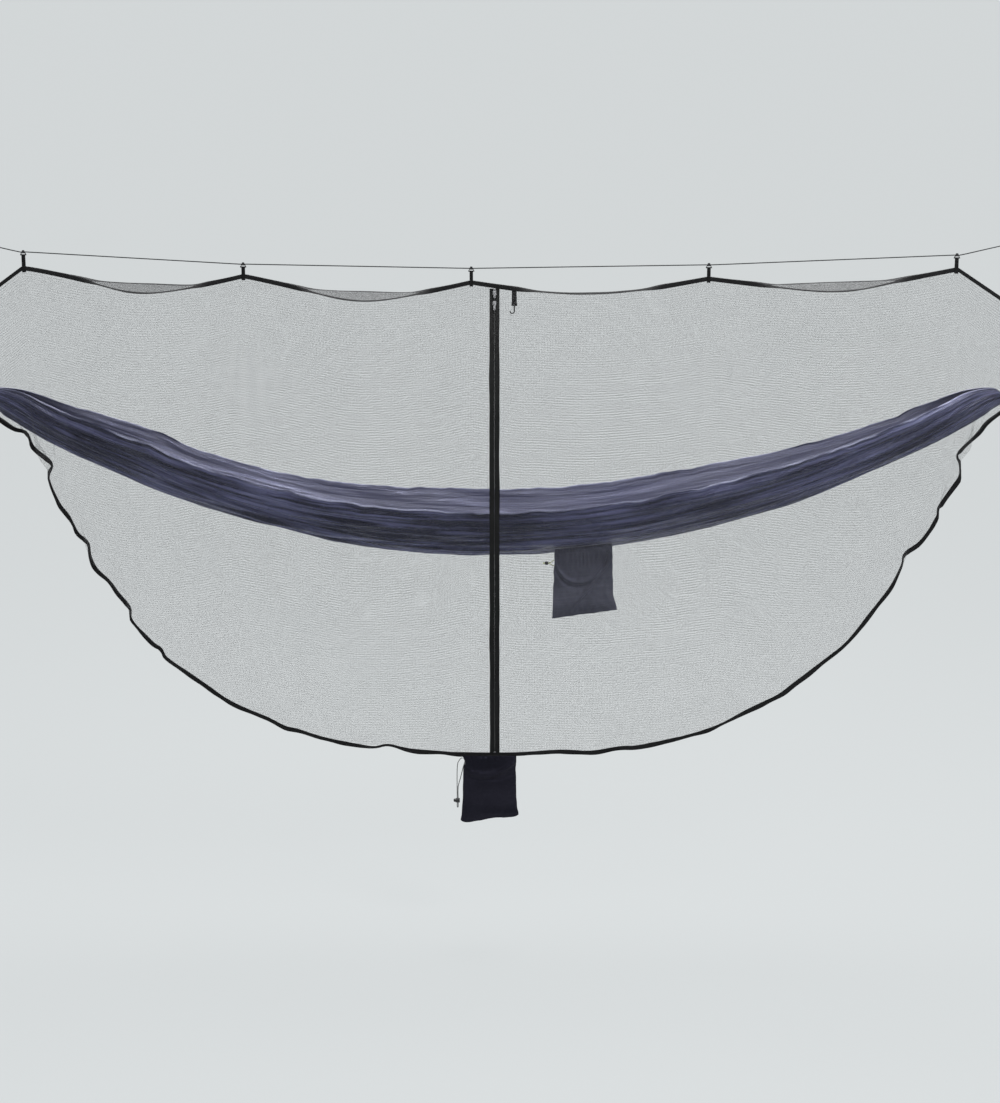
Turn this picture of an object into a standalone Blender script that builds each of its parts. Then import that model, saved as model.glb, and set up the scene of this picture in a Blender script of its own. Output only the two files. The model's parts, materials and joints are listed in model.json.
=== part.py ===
# A hammock tent: a gathered-end hammock inside a closed hanging mosquito net,
# hung from a ridgeline cord by five short straps, with a double zip in its
# front wall, a gear hook, a pouch on the hammock and a stuff sack on the rim.
# Metres, +Z up, the long way along X, the zip wall at -Y. The origin is on the
# ridgeline cord, straight above the zip.
import math

import bmesh
import bpy
from mathutils import Matrix, Vector

# Clearances
GAP = 0.0003            # two pieces that touch
RUN_GAP = 0.0004        # a slider on its tape, a button in its barrel
CUT_OVERRUN = 0.002     # how far every cutter runs past what it cuts

# Net
NET_LENGTH = 3.40       # cuff to cuff
NET_HEIGHT = 1.43       # ridge band to rim, at the zip
NET_DEPTH = 0.44        # front wall to back wall, where they belly most
NET_CLOTH = 0.0008
NET_SPACING = 0.068     # cloth columns, along the rim
WALL_ROWS = 7
RIDGE_DROP = 0.045      # ridge bands below the ridgeline, at the middle hanger
LENS_WIDTH = 0.27       # top panel, half way between two hangers
PINCH_WIDTH = 0.0044    # top panel, at a hanger
BAND_WIDTH = 0.0125
BAND_THICKNESS = 0.0012
BAND_TWIST = math.radians(78)
RIM_WIDTH = 0.0085
RIM_THICKNESS = 0.0036
CUFF_LENGTH = 0.012
CUFF_WALL = 0.0040
PINCH_FLAT = 0.0065     # half the run at a hanger where the bands lie together
BELLY_POWERS = (3, 0.7)
TUNNEL_START_SHARE = 0.30   # from here the walls begin to close round the hammock's end
TUNNEL_SHARE = 0.88         # from here they are a round tunnel
TUNNEL_LIFT_POWER = 1.9
RIM_STEPS = 4           # curve steps between two points of the rim

# Hangers, from left to right, along half the net's length
HANGER_SHARES = (-0.8018, -0.4282, -0.0396, 0.3653, 0.7870)
# Ridgeline and band heights at the hangers, shares of the net's height
LINE_SHARES = (0.0322, 0.0077, -0.0007, 0.0063, 0.0259)
BAND_SHARES = (0.0301, 0.0140, 0.0014, 0.0091, 0.0273)
# Sag of the bands and opening of the top panel in the six bays between cuffs
# and hangers
BAY_SAG_SHARES = (0.0, 0.040, 0.036, 0.025, 0.029, 0.0)
BAY_LENS_SHARES = (0.0, 1.0, 1.0, 0.30, 1.0, 0.0)

# The rim's outline, left cuff to right cuff: along half the net's length, and
# down the net's height from the ridgeline
RIM_SHARES = (
    (-1.0, 0.1840), (-0.935, 0.247), (-0.860, 0.306), (-0.832, 0.330), (-0.812, 0.338),
    (-0.801, 0.368), (-0.771, 0.402), (-0.778, 0.433), (-0.762, 0.485), (-0.745, 0.514),
    (-0.731, 0.550), (-0.714, 0.569), (-0.711, 0.598), (-0.700, 0.627), (-0.679, 0.652),
    (-0.664, 0.676), (-0.645, 0.706), (-0.642, 0.729), (-0.605, 0.779), (-0.574, 0.793),
    (-0.566, 0.812), (-0.538, 0.838), (-0.482, 0.889), (-0.445, 0.917), (-0.405, 0.936),
    (-0.375, 0.957), (-0.353, 0.963), (-0.293, 0.986), (-0.222, 1.002), (-0.191, 0.998),
    (-0.153, 1.010), (-0.090, 1.020), (-0.068, 1.0300), (0.0, 1.0310), (0.050, 1.0300),
    (0.117, 1.0245), (0.172, 1.027), (0.224, 1.017), (0.260, 1.014), (0.333, 0.994),
    (0.394, 0.971), (0.454, 0.933), (0.505, 0.902), (0.531, 0.878), (0.584, 0.827),
    (0.626, 0.783), (0.671, 0.711), (0.699, 0.664), (0.717, 0.617), (0.721, 0.593),
    (0.749, 0.566), (0.775, 0.513), (0.776, 0.496), (0.799, 0.452), (0.811, 0.428),
    (0.810, 0.403), (0.806, 0.380), (0.839, 0.338), (0.852, 0.317), (0.878, 0.293),
    (0.940, 0.240), (1.0, 0.1840),
)

# Ridgeline
LINE_DIAMETER = 0.003
LINE_RISE = 0.22        # slope of the cord outside the end hangers
LINE_STRAIGHT = 0.009   # half the straight run through a hanger
LINE_OVERHANG = 0.33    # end hanger to knot, along X
EYE_LENGTH = 0.042
EYE_WIDTH = 0.020
KNOT_LENGTH = 0.013
KNOT_RADIUS = 0.0045

# Hanger: a moulded triangle on the cord and a folded strap
RING_TOP = 0.0052
RING_SHOULDER = 0.0036
RING_BOTTOM = 0.0097
RING_TOP_WIDTH = 0.0050
RING_SHOULDER_WIDTH = 0.0134
RING_FOOT_WIDTH = 0.0177
RING_DEPTH = 0.0046
RING_BAR = 0.0018
RING_SLOT = 0.0042
RING_SNAP = 0.0024      # the slit at the back that lets the cord in
STRAP_WIDTH = 0.010
STRAP_THICKNESS = 0.0010
STRAP_TAIL = 0.004      # how far the strap runs on below the band's middle

# Zip
ZIP_WIDTH = 0.029
ZIP_SLIT = 0.0018
TAPE_THICKNESS = 0.0010
COIL_WIDTH = 0.0026
COIL_HEIGHT = 0.0016
ZIP_ROWS = 38
SLIDER_LENGTH = 0.013
SLIDER_WIDTH = 0.0096
SLIDER_NOSE_WIDTH = 0.0072
SLIDER_PLATE = 0.0013
SLIDER_FLANGE = 0.0011
CROWN_HEIGHT = 0.0034
CROWN_WIDTH = 0.0022
CROWN_LENGTH = 0.0078
CROWN_BAR = 0.0011
PULL_WIDTH = 0.0058
PULL_THICKNESS = 0.0011
PULL_BAR = 0.0013
UPPER_PULL_LENGTH = 0.019
LOWER_PULL_LENGTH = 0.024
UPPER_SLIDER_DROP = 0.0145  # along the zip, below the band
LOWER_SLIDER_DROP = 0.048
STOP_LENGTH = 0.004
STOP_WIDTH = 0.008

# Gear hook
HOOK_X = 0.057
HOOK_STRAP_WIDTH = 0.014
HOOK_STRAP_LENGTH = 0.036
HOOK_SEAT_HALF = 0.0085 # half the straight run of the band behind the strap
HOOK_BAR = 0.0026
HOOK_BAR_WIDTH = 0.017
HOOK_THICKNESS = 0.0034
HOOK_DROP = 0.029       # its bar to its lowest point
HOOK_RADIUS = 0.0062
HOOK_STEM = 0.0032

# Hammock
HAMMOCK_SHARE = 0.9029412       # gathered end to gathered end, of the net's length
HAMMOCK_LOW = 0.836     # its lowest line, below the ridgeline
HAMMOCK_SAG = 0.468     # its lowest line, below its ends
HAMMOCK_WIDTH = 0.30    # hem to hem, hanging empty
HAMMOCK_DEPTH = 0.142
HAMMOCK_CLOTH = 0.0012
HAMMOCK_STATIONS = 34
HAMMOCK_ROWS = 14
STATION_SHARE = 0.5     # how much closer the stations lie near the ends
FOLD_DEPTH = 0.004
FOLD_TURN = 1.2         # how far the folds wander round the trough, in radians
HEM_CURL = math.radians(72)
CURL_START_SHARE = 0.80     # where the hems begin to curl in
TROUGH_WIDTH_POWERS = (3, 0.75)
TROUGH_DEPTH_POWERS = (5, 0.5)
FOLD_COUNT = 3
HEM_DIAMETER = 0.0036
BUNDLE_RADIUS = 0.0145  # the gathered cloth
BUNDLE_LENGTH = 0.034
WHIPPING_LENGTH = 0.026
WHIPPING_WALL = 0.0035
FAR_HEM_RISE = 0.012    # the far hem hangs a little higher

# Suspension
ROPE_DIAMETER = 0.006
ROPE_SPLIT = 0.0006     # between the two strands at the cuff
ROPE_LEAD = 0.244       # end of the cloth to carabiner, along the rope
ROPE_DEPTH = 0.010      # the loop's near bend, inside the gathered cloth
ROPE_TAPER = 0.10       # where the loop's strands come together
ROPE_FLARE = 0.024      # where they part again, short of the carabiner
BINER_LENGTH = 0.076
BINER_WIDTH = 0.038
BINER_ROD = 0.0068
GATE_DIAMETER = 0.0056
GATE_TONGUE = 0.0026
GATE_PIN_DIAMETER = 0.0022
GATE_PIN_GAP = 0.0002
GATE_LENGTH = 0.034
GATE_SHOULDER = 0.0046  # pin to the full round of the gate
EAR_REACH = 0.0022      # the body's ears past the pin

# Pouch on the hammock
POUCH_X = 0.263
POUCH_WIDTH = 0.178
POUCH_HEIGHT = 0.212
POUCH_THICKNESS = 0.009
POUCH_FLARE_SHARES = (0.96, 0.97, 0.985, 1.0, 1.01, 1.03)
POUCH_EDGE = 0.003      # thickness at its seams
POUCH_ROW = 5           # the row of the trough's cloth that it is sewn to
POUCH_CORD_DIAMETER = 0.0018
POUCH_CORD_PITCH = 0.0025
POUCH_CORD_DROP = 0.034 # its upper eyelet below the pouch's top
POUCH_CORD_SPREAD = 0.015
POUCH_CORD_REACH = 0.0125   # to where the strands run together
TOGGLE_LENGTH = 0.0095
TOGGLE_RADIUS = 0.0052
TOGGLE_PLACE = 0.0225   # its middle, out from the pouch's edge
TOGGLE_TAIL = 0.0105    # the cord's end loop past the toggle's middle

# Stuff sack under the zip
SACK_X = -0.016
SACK_WIDTH = 0.168
SACK_HEIGHT = 0.200
SACK_THICKNESS = 0.016
SACK_EDGE = 0.004
SACK_DROP = 0.0052      # top edge below the rim's middle
SACK_FLARE_SHARES = (0.975, 0.955, 0.965, 0.975, 1.0, 1.06)

# Drawcords and cord locks
DRAWCORD_DIAMETER = 0.0022
DRAWCORD_PITCH = 0.0030
LOCK_RADIUS = 0.0070
LOCK_WALL = 0.0016
LOCK_LENGTH = 0.0130
LOCK_FLOOR = 0.0020
BUTTON_PROUD = 0.0060
BUTTON_TRAVEL = 0.003
SACK_CORD_DROP = 0.007  # eyelets below the sack's top
SACK_CORD_IN = 0.008    # the back eyelet, in from the edge
SACK_CORD_BEHIND = 0.0130   # the strand behind the sack, from its middle
LOCK_OUT = 0.0160       # its middle, out from the sack's edge
LOCK_DROP = 0.142       # its middle, below the sack's top
LOCK_RISE = 0.030       # how far it slides up the paired strands
LOCK_TAIL = 0.022       # the cord's end loop, below the lock's middle


def clear_scene():
    for item in list(bpy.data.objects):
        bpy.data.objects.remove(item, do_unlink=True)


def make_collection(name):
    collection = bpy.data.collections.new(name)
    bpy.context.scene.collection.children.link(collection)
    return collection


def make_material(name, colour, roughness, metallic=0.0):
    material = bpy.data.materials.new(name)
    material.use_nodes = True
    shader = material.node_tree.nodes["Principled BSDF"]
    shader.inputs["Base Color"].default_value = (*colour, 1.0)
    shader.inputs["Roughness"].default_value = roughness
    shader.inputs["Metallic"].default_value = metallic
    return material


clear_scene()
PARTS = make_collection("hammock_tent")
CUTTERS = make_collection("cutters")

NETTING = make_material("netting", (0.50, 0.51, 0.52), 0.9)
BLACK_TAPE = make_material("black_tape", (0.012, 0.012, 0.013), 0.85)
NAVY_CLOTH = make_material("navy_cloth", (0.045, 0.048, 0.085), 0.65)
DARK_CLOTH = make_material("dark_cloth", (0.014, 0.013, 0.024), 0.7)
SLATE_CLOTH = make_material("slate_cloth", (0.060, 0.062, 0.090), 0.7)
BLACK_CORD = make_material("black_cord", (0.010, 0.010, 0.011), 0.8)
GREEN_CORD = make_material("green_cord", (0.16, 0.20, 0.05), 0.8)
BLACK_PLASTIC = make_material("black_plastic", (0.014, 0.014, 0.015), 0.45)
GREY_PLASTIC = make_material("grey_plastic", (0.060, 0.060, 0.065), 0.5)
SLIDER_METAL = make_material("slider_metal", (0.33, 0.33, 0.34), 0.35, 1.0)
STEEL = make_material("steel", (0.45, 0.46, 0.48), 0.3, 1.0)


# Small mathematics
def smooth_step(low, high, value):
    t = min(1.0, max(0.0, (value - low) / (high - low)))
    return t * t * (3 - 2 * t)


def mix(a, b, t):
    return a + (b - a) * t


def fullness(share, powers):
    """How full a shape still is on the way from its middle (1) to its end (0)."""
    return (1 - min(1.0, share) ** powers[0]) ** powers[1]


def spaced(start, end, count):
    return [mix(start, end, i / count) for i in range(count + 1)]


def spline(points, per_span):
    """Points on a smooth curve through the given ones."""
    ends = [2 * points[0] - points[1]] + list(points) + [2 * points[-1] - points[-2]]
    out = []
    for a, b, c, d in zip(ends, ends[1:], ends[2:], ends[3:]):
        for i in range(per_span):
            t = i / per_span
            pull = (c - a) * t + (2 * a - 5 * b + 4 * c - d) * t * t
            out.append(b + (pull + (3 * b - a - 3 * c + d) * t * t * t) / 2)
    return out + [points[-1]]


def along(points, distances):
    """Points at the given distances along a line of points."""
    lengths = [0.0]
    for a, b in zip(points, points[1:]):
        lengths.append(lengths[-1] + (b - a).length)
    out = []
    for distance in distances:
        distance = min(max(distance, 0.0), lengths[-1])
        i = 0
        while i < len(points) - 2 and lengths[i + 1] < distance:
            i += 1
        span = lengths[i + 1] - lengths[i]
        out.append(points[i].lerp(points[i + 1], (distance - lengths[i]) / span))
    return out


# Building blocks
def add_mesh_object(name, mesh, material):
    item = bpy.data.objects.new(name, mesh)
    PARTS.objects.link(item)
    mesh.materials.append(material)
    return item


def set_origin(item, point):
    """Puts an object's origin on its joint's axis and leaves its shape where it is."""
    item.data.transform(Matrix.Translation(-Vector(point)))
    item.location = point


def smooth_shade(item, angle=math.radians(35)):
    item.data.shade_smooth()
    item.data.set_sharp_from_angle(angle=angle)


def sheet(name, rows, thickness, material):
    """Cloth on a grid of points, given its thickness by Solidify."""
    mesh = bpy.data.meshes.new(name)
    bm = bmesh.new()
    grid = [[bm.verts.new(point) for point in row] for row in rows]
    for low, high in zip(grid, grid[1:]):
        for i in range(len(low) - 1):
            bm.faces.new((low[i], low[i + 1], high[i + 1], high[i]))
    bm.to_mesh(mesh)
    bm.free()
    mesh.shade_smooth()
    item = add_mesh_object(name, mesh, material)
    wall = item.modifiers.new("thickness", "SOLIDIFY")
    wall.thickness = thickness
    wall.offset = 0.0
    return item


def loft(name, rings, material):
    """A solid through a row of rings with as many points each."""
    mesh = bpy.data.meshes.new(name)
    bm = bmesh.new()
    loops = [[bm.verts.new(point) for point in ring] for ring in rings]
    for low, high in zip(loops, loops[1:]):
        for i in range(len(low)):
            j = (i + 1) % len(low)
            bm.faces.new((low[i], low[j], high[j], high[i]))
    bm.faces.new(loops[0][::-1])
    bm.faces.new(loops[-1])
    bmesh.ops.recalc_face_normals(bm, faces=bm.faces)
    bm.to_mesh(mesh)
    bm.free()
    return add_mesh_object(name, mesh, material)


def ring_at(centre, side, up, outline):
    """A flat outline set at a place, along two directions."""
    return [centre + side * a + up * b for a, b in outline]


def box_outline(width, height):
    w, h = width / 2, height / 2
    return [(-w, -h), (w, -h), (w, h), (-w, h)]


def tube(name, points, radius, material, cyclic=False, resolution=2):
    """A round cord or rod through points."""
    curve = bpy.data.curves.new(name, "CURVE")
    curve.dimensions = "3D"
    curve.bevel_depth = radius
    curve.bevel_resolution = resolution
    curve.use_fill_caps = True
    run = curve.splines.new("POLY")
    run.points.add(len(points) - 1)
    for target, point in zip(run.points, points):
        target.co = (*point, 1.0)
    run.use_cyclic_u = cyclic
    item = bpy.data.objects.new(name, curve)
    PARTS.objects.link(item)
    curve.materials.append(material)
    return item


def as_mesh(item):
    """Turns a curve into a welded mesh, so that it can be cut or joined."""
    graph = bpy.context.evaluated_depsgraph_get()
    mesh = bpy.data.meshes.new_from_object(item.evaluated_get(graph))
    bm = bmesh.new()
    bm.from_mesh(mesh)
    bmesh.ops.remove_doubles(bm, verts=bm.verts, dist=GAP / 30)
    bm.to_mesh(mesh)
    bm.free()
    name = item.name
    place = item.matrix_world.copy()
    owner = item.users_collection[0]
    bpy.data.objects.remove(item, do_unlink=True)
    solid = bpy.data.objects.new(name, mesh)
    solid.matrix_world = place
    owner.objects.link(solid)
    return solid


def plate(name, outline, holes, depth, place, material):
    """A flat outline with holes, drawn in X and Y, given depth along Z, then placed."""
    curve = bpy.data.curves.new(name, "CURVE")
    curve.dimensions = "2D"
    curve.fill_mode = "BOTH"
    curve.extrude = depth / 2
    for loop in [outline, *holes]:
        run = curve.splines.new("POLY")
        run.points.add(len(loop) - 1)
        for target, point in zip(run.points, loop):
            target.co = (point[0], point[1], 0.0, 1.0)
        run.use_cyclic_u = True
    item = bpy.data.objects.new(name, curve)
    PARTS.objects.link(item)
    solid = as_mesh(item)
    solid.data.transform(place)
    solid.data.materials.clear()
    solid.data.materials.append(material)
    return solid


def rounded(points, radius, steps=3):
    """An outline with its corners rounded."""
    out = []
    count = len(points)
    for i in range(count):
        before, here, after = (Vector(points[(i + k) % count]) for k in (-1, 0, 1))
        first = here + (before - here).normalized() * radius
        last = here + (after - here).normalized() * radius
        for k in range(steps + 1):
            t = k / steps
            out.append(first.lerp(here, t).lerp(here.lerp(last, t), t))
    return out


def circle(radius, count, centre=(0.0, 0.0)):
    step = 2 * math.pi / count
    return [
        (centre[0] + radius * math.cos(i * step), centre[1] + radius * math.sin(i * step))
        for i in range(count)
    ]


def turned(name, profile, place, material, steps=20):
    """A profile of (radius, height), from the bottom up its outer side, turned about Z."""
    mesh = bpy.data.meshes.new(name)
    bm = bmesh.new()
    verts = [bm.verts.new((radius, 0.0, height)) for radius, height in reversed(profile)]
    for first, second in zip(verts, verts[1:]):
        bm.edges.new((first, second))
    if verts[0].co.x > 0.0 or verts[-1].co.x > 0.0:
        bm.edges.new((verts[-1], verts[0]))
    bm.to_mesh(mesh)
    bm.free()
    item = add_mesh_object(name, mesh, material)
    item.matrix_world = place
    screw = item.modifiers.new("turn", "SCREW")
    screw.steps = steps
    screw.render_steps = steps
    screw.use_merge_vertices = True
    screw.merge_threshold = GAP / 30
    return item


def baked_mesh(item):
    """The mesh of an object with its modifiers applied; the object goes."""
    graph = bpy.context.evaluated_depsgraph_get()
    mesh = bpy.data.meshes.new_from_object(item.evaluated_get(graph))
    bpy.data.objects.remove(item, do_unlink=True)
    return mesh


def combine(item, other, operation):
    """Cuts or joins one solid with another, which becomes a guide."""
    change = item.modifiers.new(other.name, "BOOLEAN")
    change.operation = operation
    change.object = other
    change.solver = "EXACT"
    for owner in list(other.users_collection):
        owner.objects.unlink(other)
    CUTTERS.objects.link(other)
    other.hide_render = True
    other.display_type = "WIRE"


def frame_matrix(side, up, out, place):
    """A placing matrix: local X, Y and Z go along side, up and out."""
    turn = Matrix((side, up, out)).transposed().to_4x4()
    return Matrix.Translation(place) @ turn


AXIS_X = Vector((1.0, 0.0, 0.0))
AXIS_Y = Vector((0.0, 1.0, 0.0))
AXIS_Z = Vector((0.0, 0.0, 1.0))

# The net's shape
HALF_NET = NET_LENGTH / 2
BELLY = NET_DEPTH / 2
HANGER_PLACES = [share * HALF_NET for share in HANGER_SHARES]
STRAND_REACH = ROPE_DIAMETER + ROPE_SPLIT / 2
CUFF_HOLE = STRAND_REACH + 2 * GAP
CUFF_CLOTH_RADIUS = CUFF_HOLE + NET_CLOTH / 2
HAMMOCK_END = HALF_NET * HAMMOCK_SHARE
BUNDLE_START = HAMMOCK_END - BUNDLE_LENGTH


def hammock_base(x):
    """The hammock's lowest line at a place, with the ways along it and up across it."""
    bend = HAMMOCK_SAG / HAMMOCK_END ** 2
    inner = math.copysign(min(abs(x), BUNDLE_START), x)
    slope = 2 * bend * inner
    height = -HAMMOCK_LOW + bend * inner * inner + slope * (x - inner)
    run = Vector((1.0, 0.0, slope)).normalized()
    return Vector((x, 0.0, height)), run, Vector((-run.z, 0.0, run.x))


def end_frame(side):
    """The gathered end: middle of the bundle, and the ways out along it and up across it."""
    base, run, up = hammock_base(side * HAMMOCK_END)
    return base + up * BUNDLE_RADIUS, run * side, up


BUNDLE_MIDDLE, ROPE_OUT, ROPE_UP = end_frame(1)
END_SLOPE = ROPE_OUT.z / ROPE_OUT.x
CUFF_DROP = -BUNDLE_MIDDLE.z - (HALF_NET - BUNDLE_MIDDLE.x) * END_SLOPE
RIM_POINTS = [Vector((x * HALF_NET, 0.0, -z * NET_HEIGHT)) for x, z in RIM_SHARES]
RIM_POINTS[0].z = -CUFF_DROP - CUFF_CLOTH_RADIUS - RIM_WIDTH / 2
RIM_POINTS[-1].z = RIM_POINTS[0].z
RIM_LINE = spline(RIM_POINTS, RIM_STEPS)
RIM_MIDDLE = [x for x, z in RIM_SHARES].index(0.0) * RIM_STEPS


def ridge_point(x):
    """Height, half width of the top panel, and how far open the bay is, at a place."""
    knots = [-HALF_NET, *HANGER_PLACES, HALF_NET]
    end_height = -CUFF_DROP + CUFF_CLOTH_RADIUS + BAND_WIDTH / 2
    heights = [share * NET_HEIGHT - RIDGE_DROP for share in BAND_SHARES]
    heights = [end_height, *heights, end_height]
    bay = 0
    while bay < len(knots) - 2 and x > knots[bay + 1]:
        bay += 1
    start = knots[bay] + (PINCH_FLAT if bay else 0.0)
    end = knots[bay + 1] - (PINCH_FLAT if bay < len(knots) - 2 else 0.0)
    t = min(1.0, max(0.0, (x - start) / (end - start)))
    sag = BAY_SAG_SHARES[bay] * NET_HEIGHT * math.sin(math.pi * t)
    open_share = BAY_LENS_SHARES[bay] * math.sin(math.pi * t) ** 2
    height = mix(heights[bay], heights[bay + 1], t) - sag
    return height, mix(PINCH_WIDTH, LENS_WIDTH, open_share) / 2, open_share


LEFT_RIM = RIM_LINE[RIM_MIDDLE::-1]
RIGHT_RIM = RIM_LINE[RIM_MIDDLE:]


def line_length(points):
    return sum((b - a).length for a, b in zip(points, points[1:]))


def rim_spread(x):
    """How fast the rim runs ahead of the ridge, to the side of the zip that x is on."""
    half = LEFT_RIM if x < 0 else RIGHT_RIM
    return (line_length(half) - HALF_NET) / HALF_NET ** 2


def rim_distance(x):
    """Distance from the zip along the rim to a column, signed: 1 to 1 near the zip."""
    return math.copysign(abs(x) + rim_spread(x) * x * x, x)


def column_at(distance):
    """The column whose foot is at a distance along the rim."""
    spread = rim_spread(distance)
    place = (math.sqrt(1 + 4 * spread * abs(distance)) - 1) / (2 * spread)
    return math.copysign(place, distance)


def net_columns():
    """The cloth's columns along the ridge, with the hangers and the zip's edges among them."""
    zip_edge = ZIP_WIDTH / 2 + GAP
    pinches = [place + edge for place in HANGER_PLACES for edge in (-PINCH_FLAT, PINCH_FLAT)]
    seat = [HOOK_X - HOOK_SEAT_HALF, HOOK_X + HOOK_SEAT_HALF]
    fixed = sorted([-HALF_NET, *pinches, -zip_edge, zip_edge, *seat, HALF_NET])
    out = [fixed[0]]
    for a, b in zip(fixed, fixed[1:]):
        start, end = rim_distance(a), rim_distance(b)
        steps = spaced(start, end, max(1, round((end - start) / NET_SPACING)))
        out += [column_at(step) for step in steps[1:-1]] + [b]
    return out


COLUMNS = net_columns()


def rim_point(x):
    """The rim's point under a column: straight below at the zip, spread out to the sides."""
    return along(LEFT_RIM if x < 0 else RIGHT_RIM, [abs(rim_distance(x))])[0]


RIM_FEET = [rim_point(x) for x in COLUMNS]


def rim_inward(index):
    """The way into the net across the rim at a column, stretched where the rim turns."""
    here = RIM_FEET[index]
    before = RIM_FEET[max(index - 1, 0)]
    after = RIM_FEET[min(index + 1, len(RIM_FEET) - 1)]
    first = (here - before).normalized() if index else (after - here).normalized()
    second = (after - here).normalized() if index < len(RIM_FEET) - 1 else first
    run = (first + second).normalized()
    return Vector((-run.z, 0.0, run.x)) / run.dot(second)


def band_frame(x, side):
    """Middle of the ridge band, and the direction across it, for the wall at side -1 or 1."""
    height, half_width, open_share = ridge_point(x)
    twist = BAND_TWIST * open_share
    across = Vector((0.0, -side * math.sin(twist), math.cos(twist)))
    return Vector((x, side * half_width, height)), across


def belly_at(x):
    share = abs(x) / HALF_NET
    return mix(CUFF_CLOTH_RADIUS, BELLY, fullness(share, BELLY_POWERS))


def arc_profile(top, bottom, belly, share):
    """A point on the circular arc from the band down to the rim, as (depth, height)."""
    chord = top - bottom
    length = chord.length
    radius = (length * length / 4 + belly * belly) / (2 * belly)
    outward = Vector((chord.y, -chord.x)) / length
    centre = (top + bottom) / 2 - outward * (radius - belly)
    half_angle = math.asin(length / 2 / radius)
    angle = half_angle * (1 - 2 * share)
    return centre + (outward * math.cos(angle) + chord / length * math.sin(angle)) * radius


def tunnel_profile(top, bottom, belly, share, round_share):
    """A point on the wall where the net closes round the hammock's end."""
    up = 1 - share
    lift = mix(up ** TUNNEL_LIFT_POWER, (1 - math.cos(math.pi * up)) / 2, round_share)
    return Vector((belly * math.sin(math.pi * up) + mix(bottom.x, top.x, up), mix(bottom.y, top.y, lift)))


def wall_ends(index, side):
    """Where a wall leaves its ridge band, and where it meets the rim binding."""
    middle, across = band_frame(COLUMNS[index], side)
    top = middle - across * (BAND_WIDTH / 2 + GAP + NET_CLOTH / 2)
    seam = RIM_WIDTH / 2 + GAP + NET_CLOTH / 2
    bottom = RIM_FEET[index] + rim_inward(index) * seam
    bottom.y = side * (NET_CLOTH + GAP) / 2
    return top, bottom


def wall_column(index, side, rows):
    """One column of a wall's points, band to rim."""
    top, bottom = wall_ends(index, side)
    flat_top = Vector((side * top.y, top.z))
    flat_bottom = Vector((side * bottom.y, bottom.z))
    x = COLUMNS[index]
    share = abs(x) / HALF_NET
    tunnel = smooth_step(TUNNEL_START_SHARE, TUNNEL_SHARE, share)
    round_share = smooth_step(TUNNEL_SHARE, 1.0, share)
    belly = belly_at(x)
    out = []
    for s in spaced(0.0, 1.0, rows):
        arc = arc_profile(flat_top, flat_bottom, belly, s)
        wrap = tunnel_profile(flat_top, flat_bottom, belly, s, round_share)
        flat = arc.lerp(wrap, tunnel)
        fall = (flat_top.y - flat.y) / (flat_top.y - flat_bottom.y)
        out.append(Vector((mix(top.x, bottom.x, fall), side * flat.x, flat.y)))
    return out


def make_walls():
    everywhere = range(len(COLUMNS))
    left = [i for i in everywhere if COLUMNS[i] < 0]
    right = [i for i in everywhere if COLUMNS[i] > 0]
    for name, indices, side in (
        ("net_front_left", left, -1), ("net_front_right", right, -1), ("net_back", everywhere, 1),
    ):
        columns = [wall_column(i, side, WALL_ROWS) for i in indices]
        sheet(name, columns, NET_CLOTH, NETTING)


def make_top_panel():
    rows = []
    for x in COLUMNS:
        middle, across = band_frame(x, -1)
        front = middle + across * (BAND_WIDTH / 2 + GAP + NET_CLOTH / 2)
        back = Vector((front.x, -front.y, front.z))
        rows.append([front, (front + back) / 2, back])
    sheet("net_top_panel", rows, NET_CLOTH, NETTING)


def make_ridge_bands():
    for name, side in (("front_ridge_band", -1), ("back_ridge_band", 1)):
        rows = []
        for x in COLUMNS:
            middle, across = band_frame(x, side)
            rows.append([middle + across * half for half in (-BAND_WIDTH / 2, BAND_WIDTH / 2)])
        sheet(name, rows, BAND_THICKNESS, BLACK_TAPE)


def make_rim():
    halves = (-RIM_WIDTH / 2, RIM_WIDTH / 2)
    rows = [[RIM_FEET[i] + rim_inward(i) * half for half in halves] for i in range(len(COLUMNS))]
    sheet("bottom_rim_binding", rows, RIM_THICKNESS, BLACK_TAPE)


def make_cuffs():
    lean = Matrix.Identity(4)
    lean[2][0] = END_SLOPE
    inner, outer = CUFF_HOLE, CUFF_HOLE + CUFF_WALL
    soft = CUFF_WALL / 3
    profile = [
        (inner, 0.0), (outer - soft, 0.0), (outer, soft), (outer, CUFF_LENGTH - soft),
        (outer - soft, CUFF_LENGTH), (inner, CUFF_LENGTH),
    ]
    lying = frame_matrix(AXIS_Y, AXIS_Z, AXIS_X, Vector((0.0, 0.0, 0.0)))
    for name, side in (("left_cuff", -1), ("right_cuff", 1)):
        mirror = Matrix.Diagonal((side, 1.0, 1.0, 1.0))
        place = Matrix.Translation((side * (HALF_NET + 2 * GAP), 0.0, -CUFF_DROP))
        mesh = baked_mesh(turned(name, profile, Matrix.Identity(4), BLACK_TAPE, steps=16))
        mesh.transform(place @ mirror @ lean @ lying)
        if side < 0:
            mesh.flip_normals()
        PARTS.objects.link(bpy.data.objects.new(name, mesh))


# Ridgeline, its end loops, and the hangers
LINE_HEIGHTS = [share * NET_HEIGHT for share in LINE_SHARES]


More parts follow.
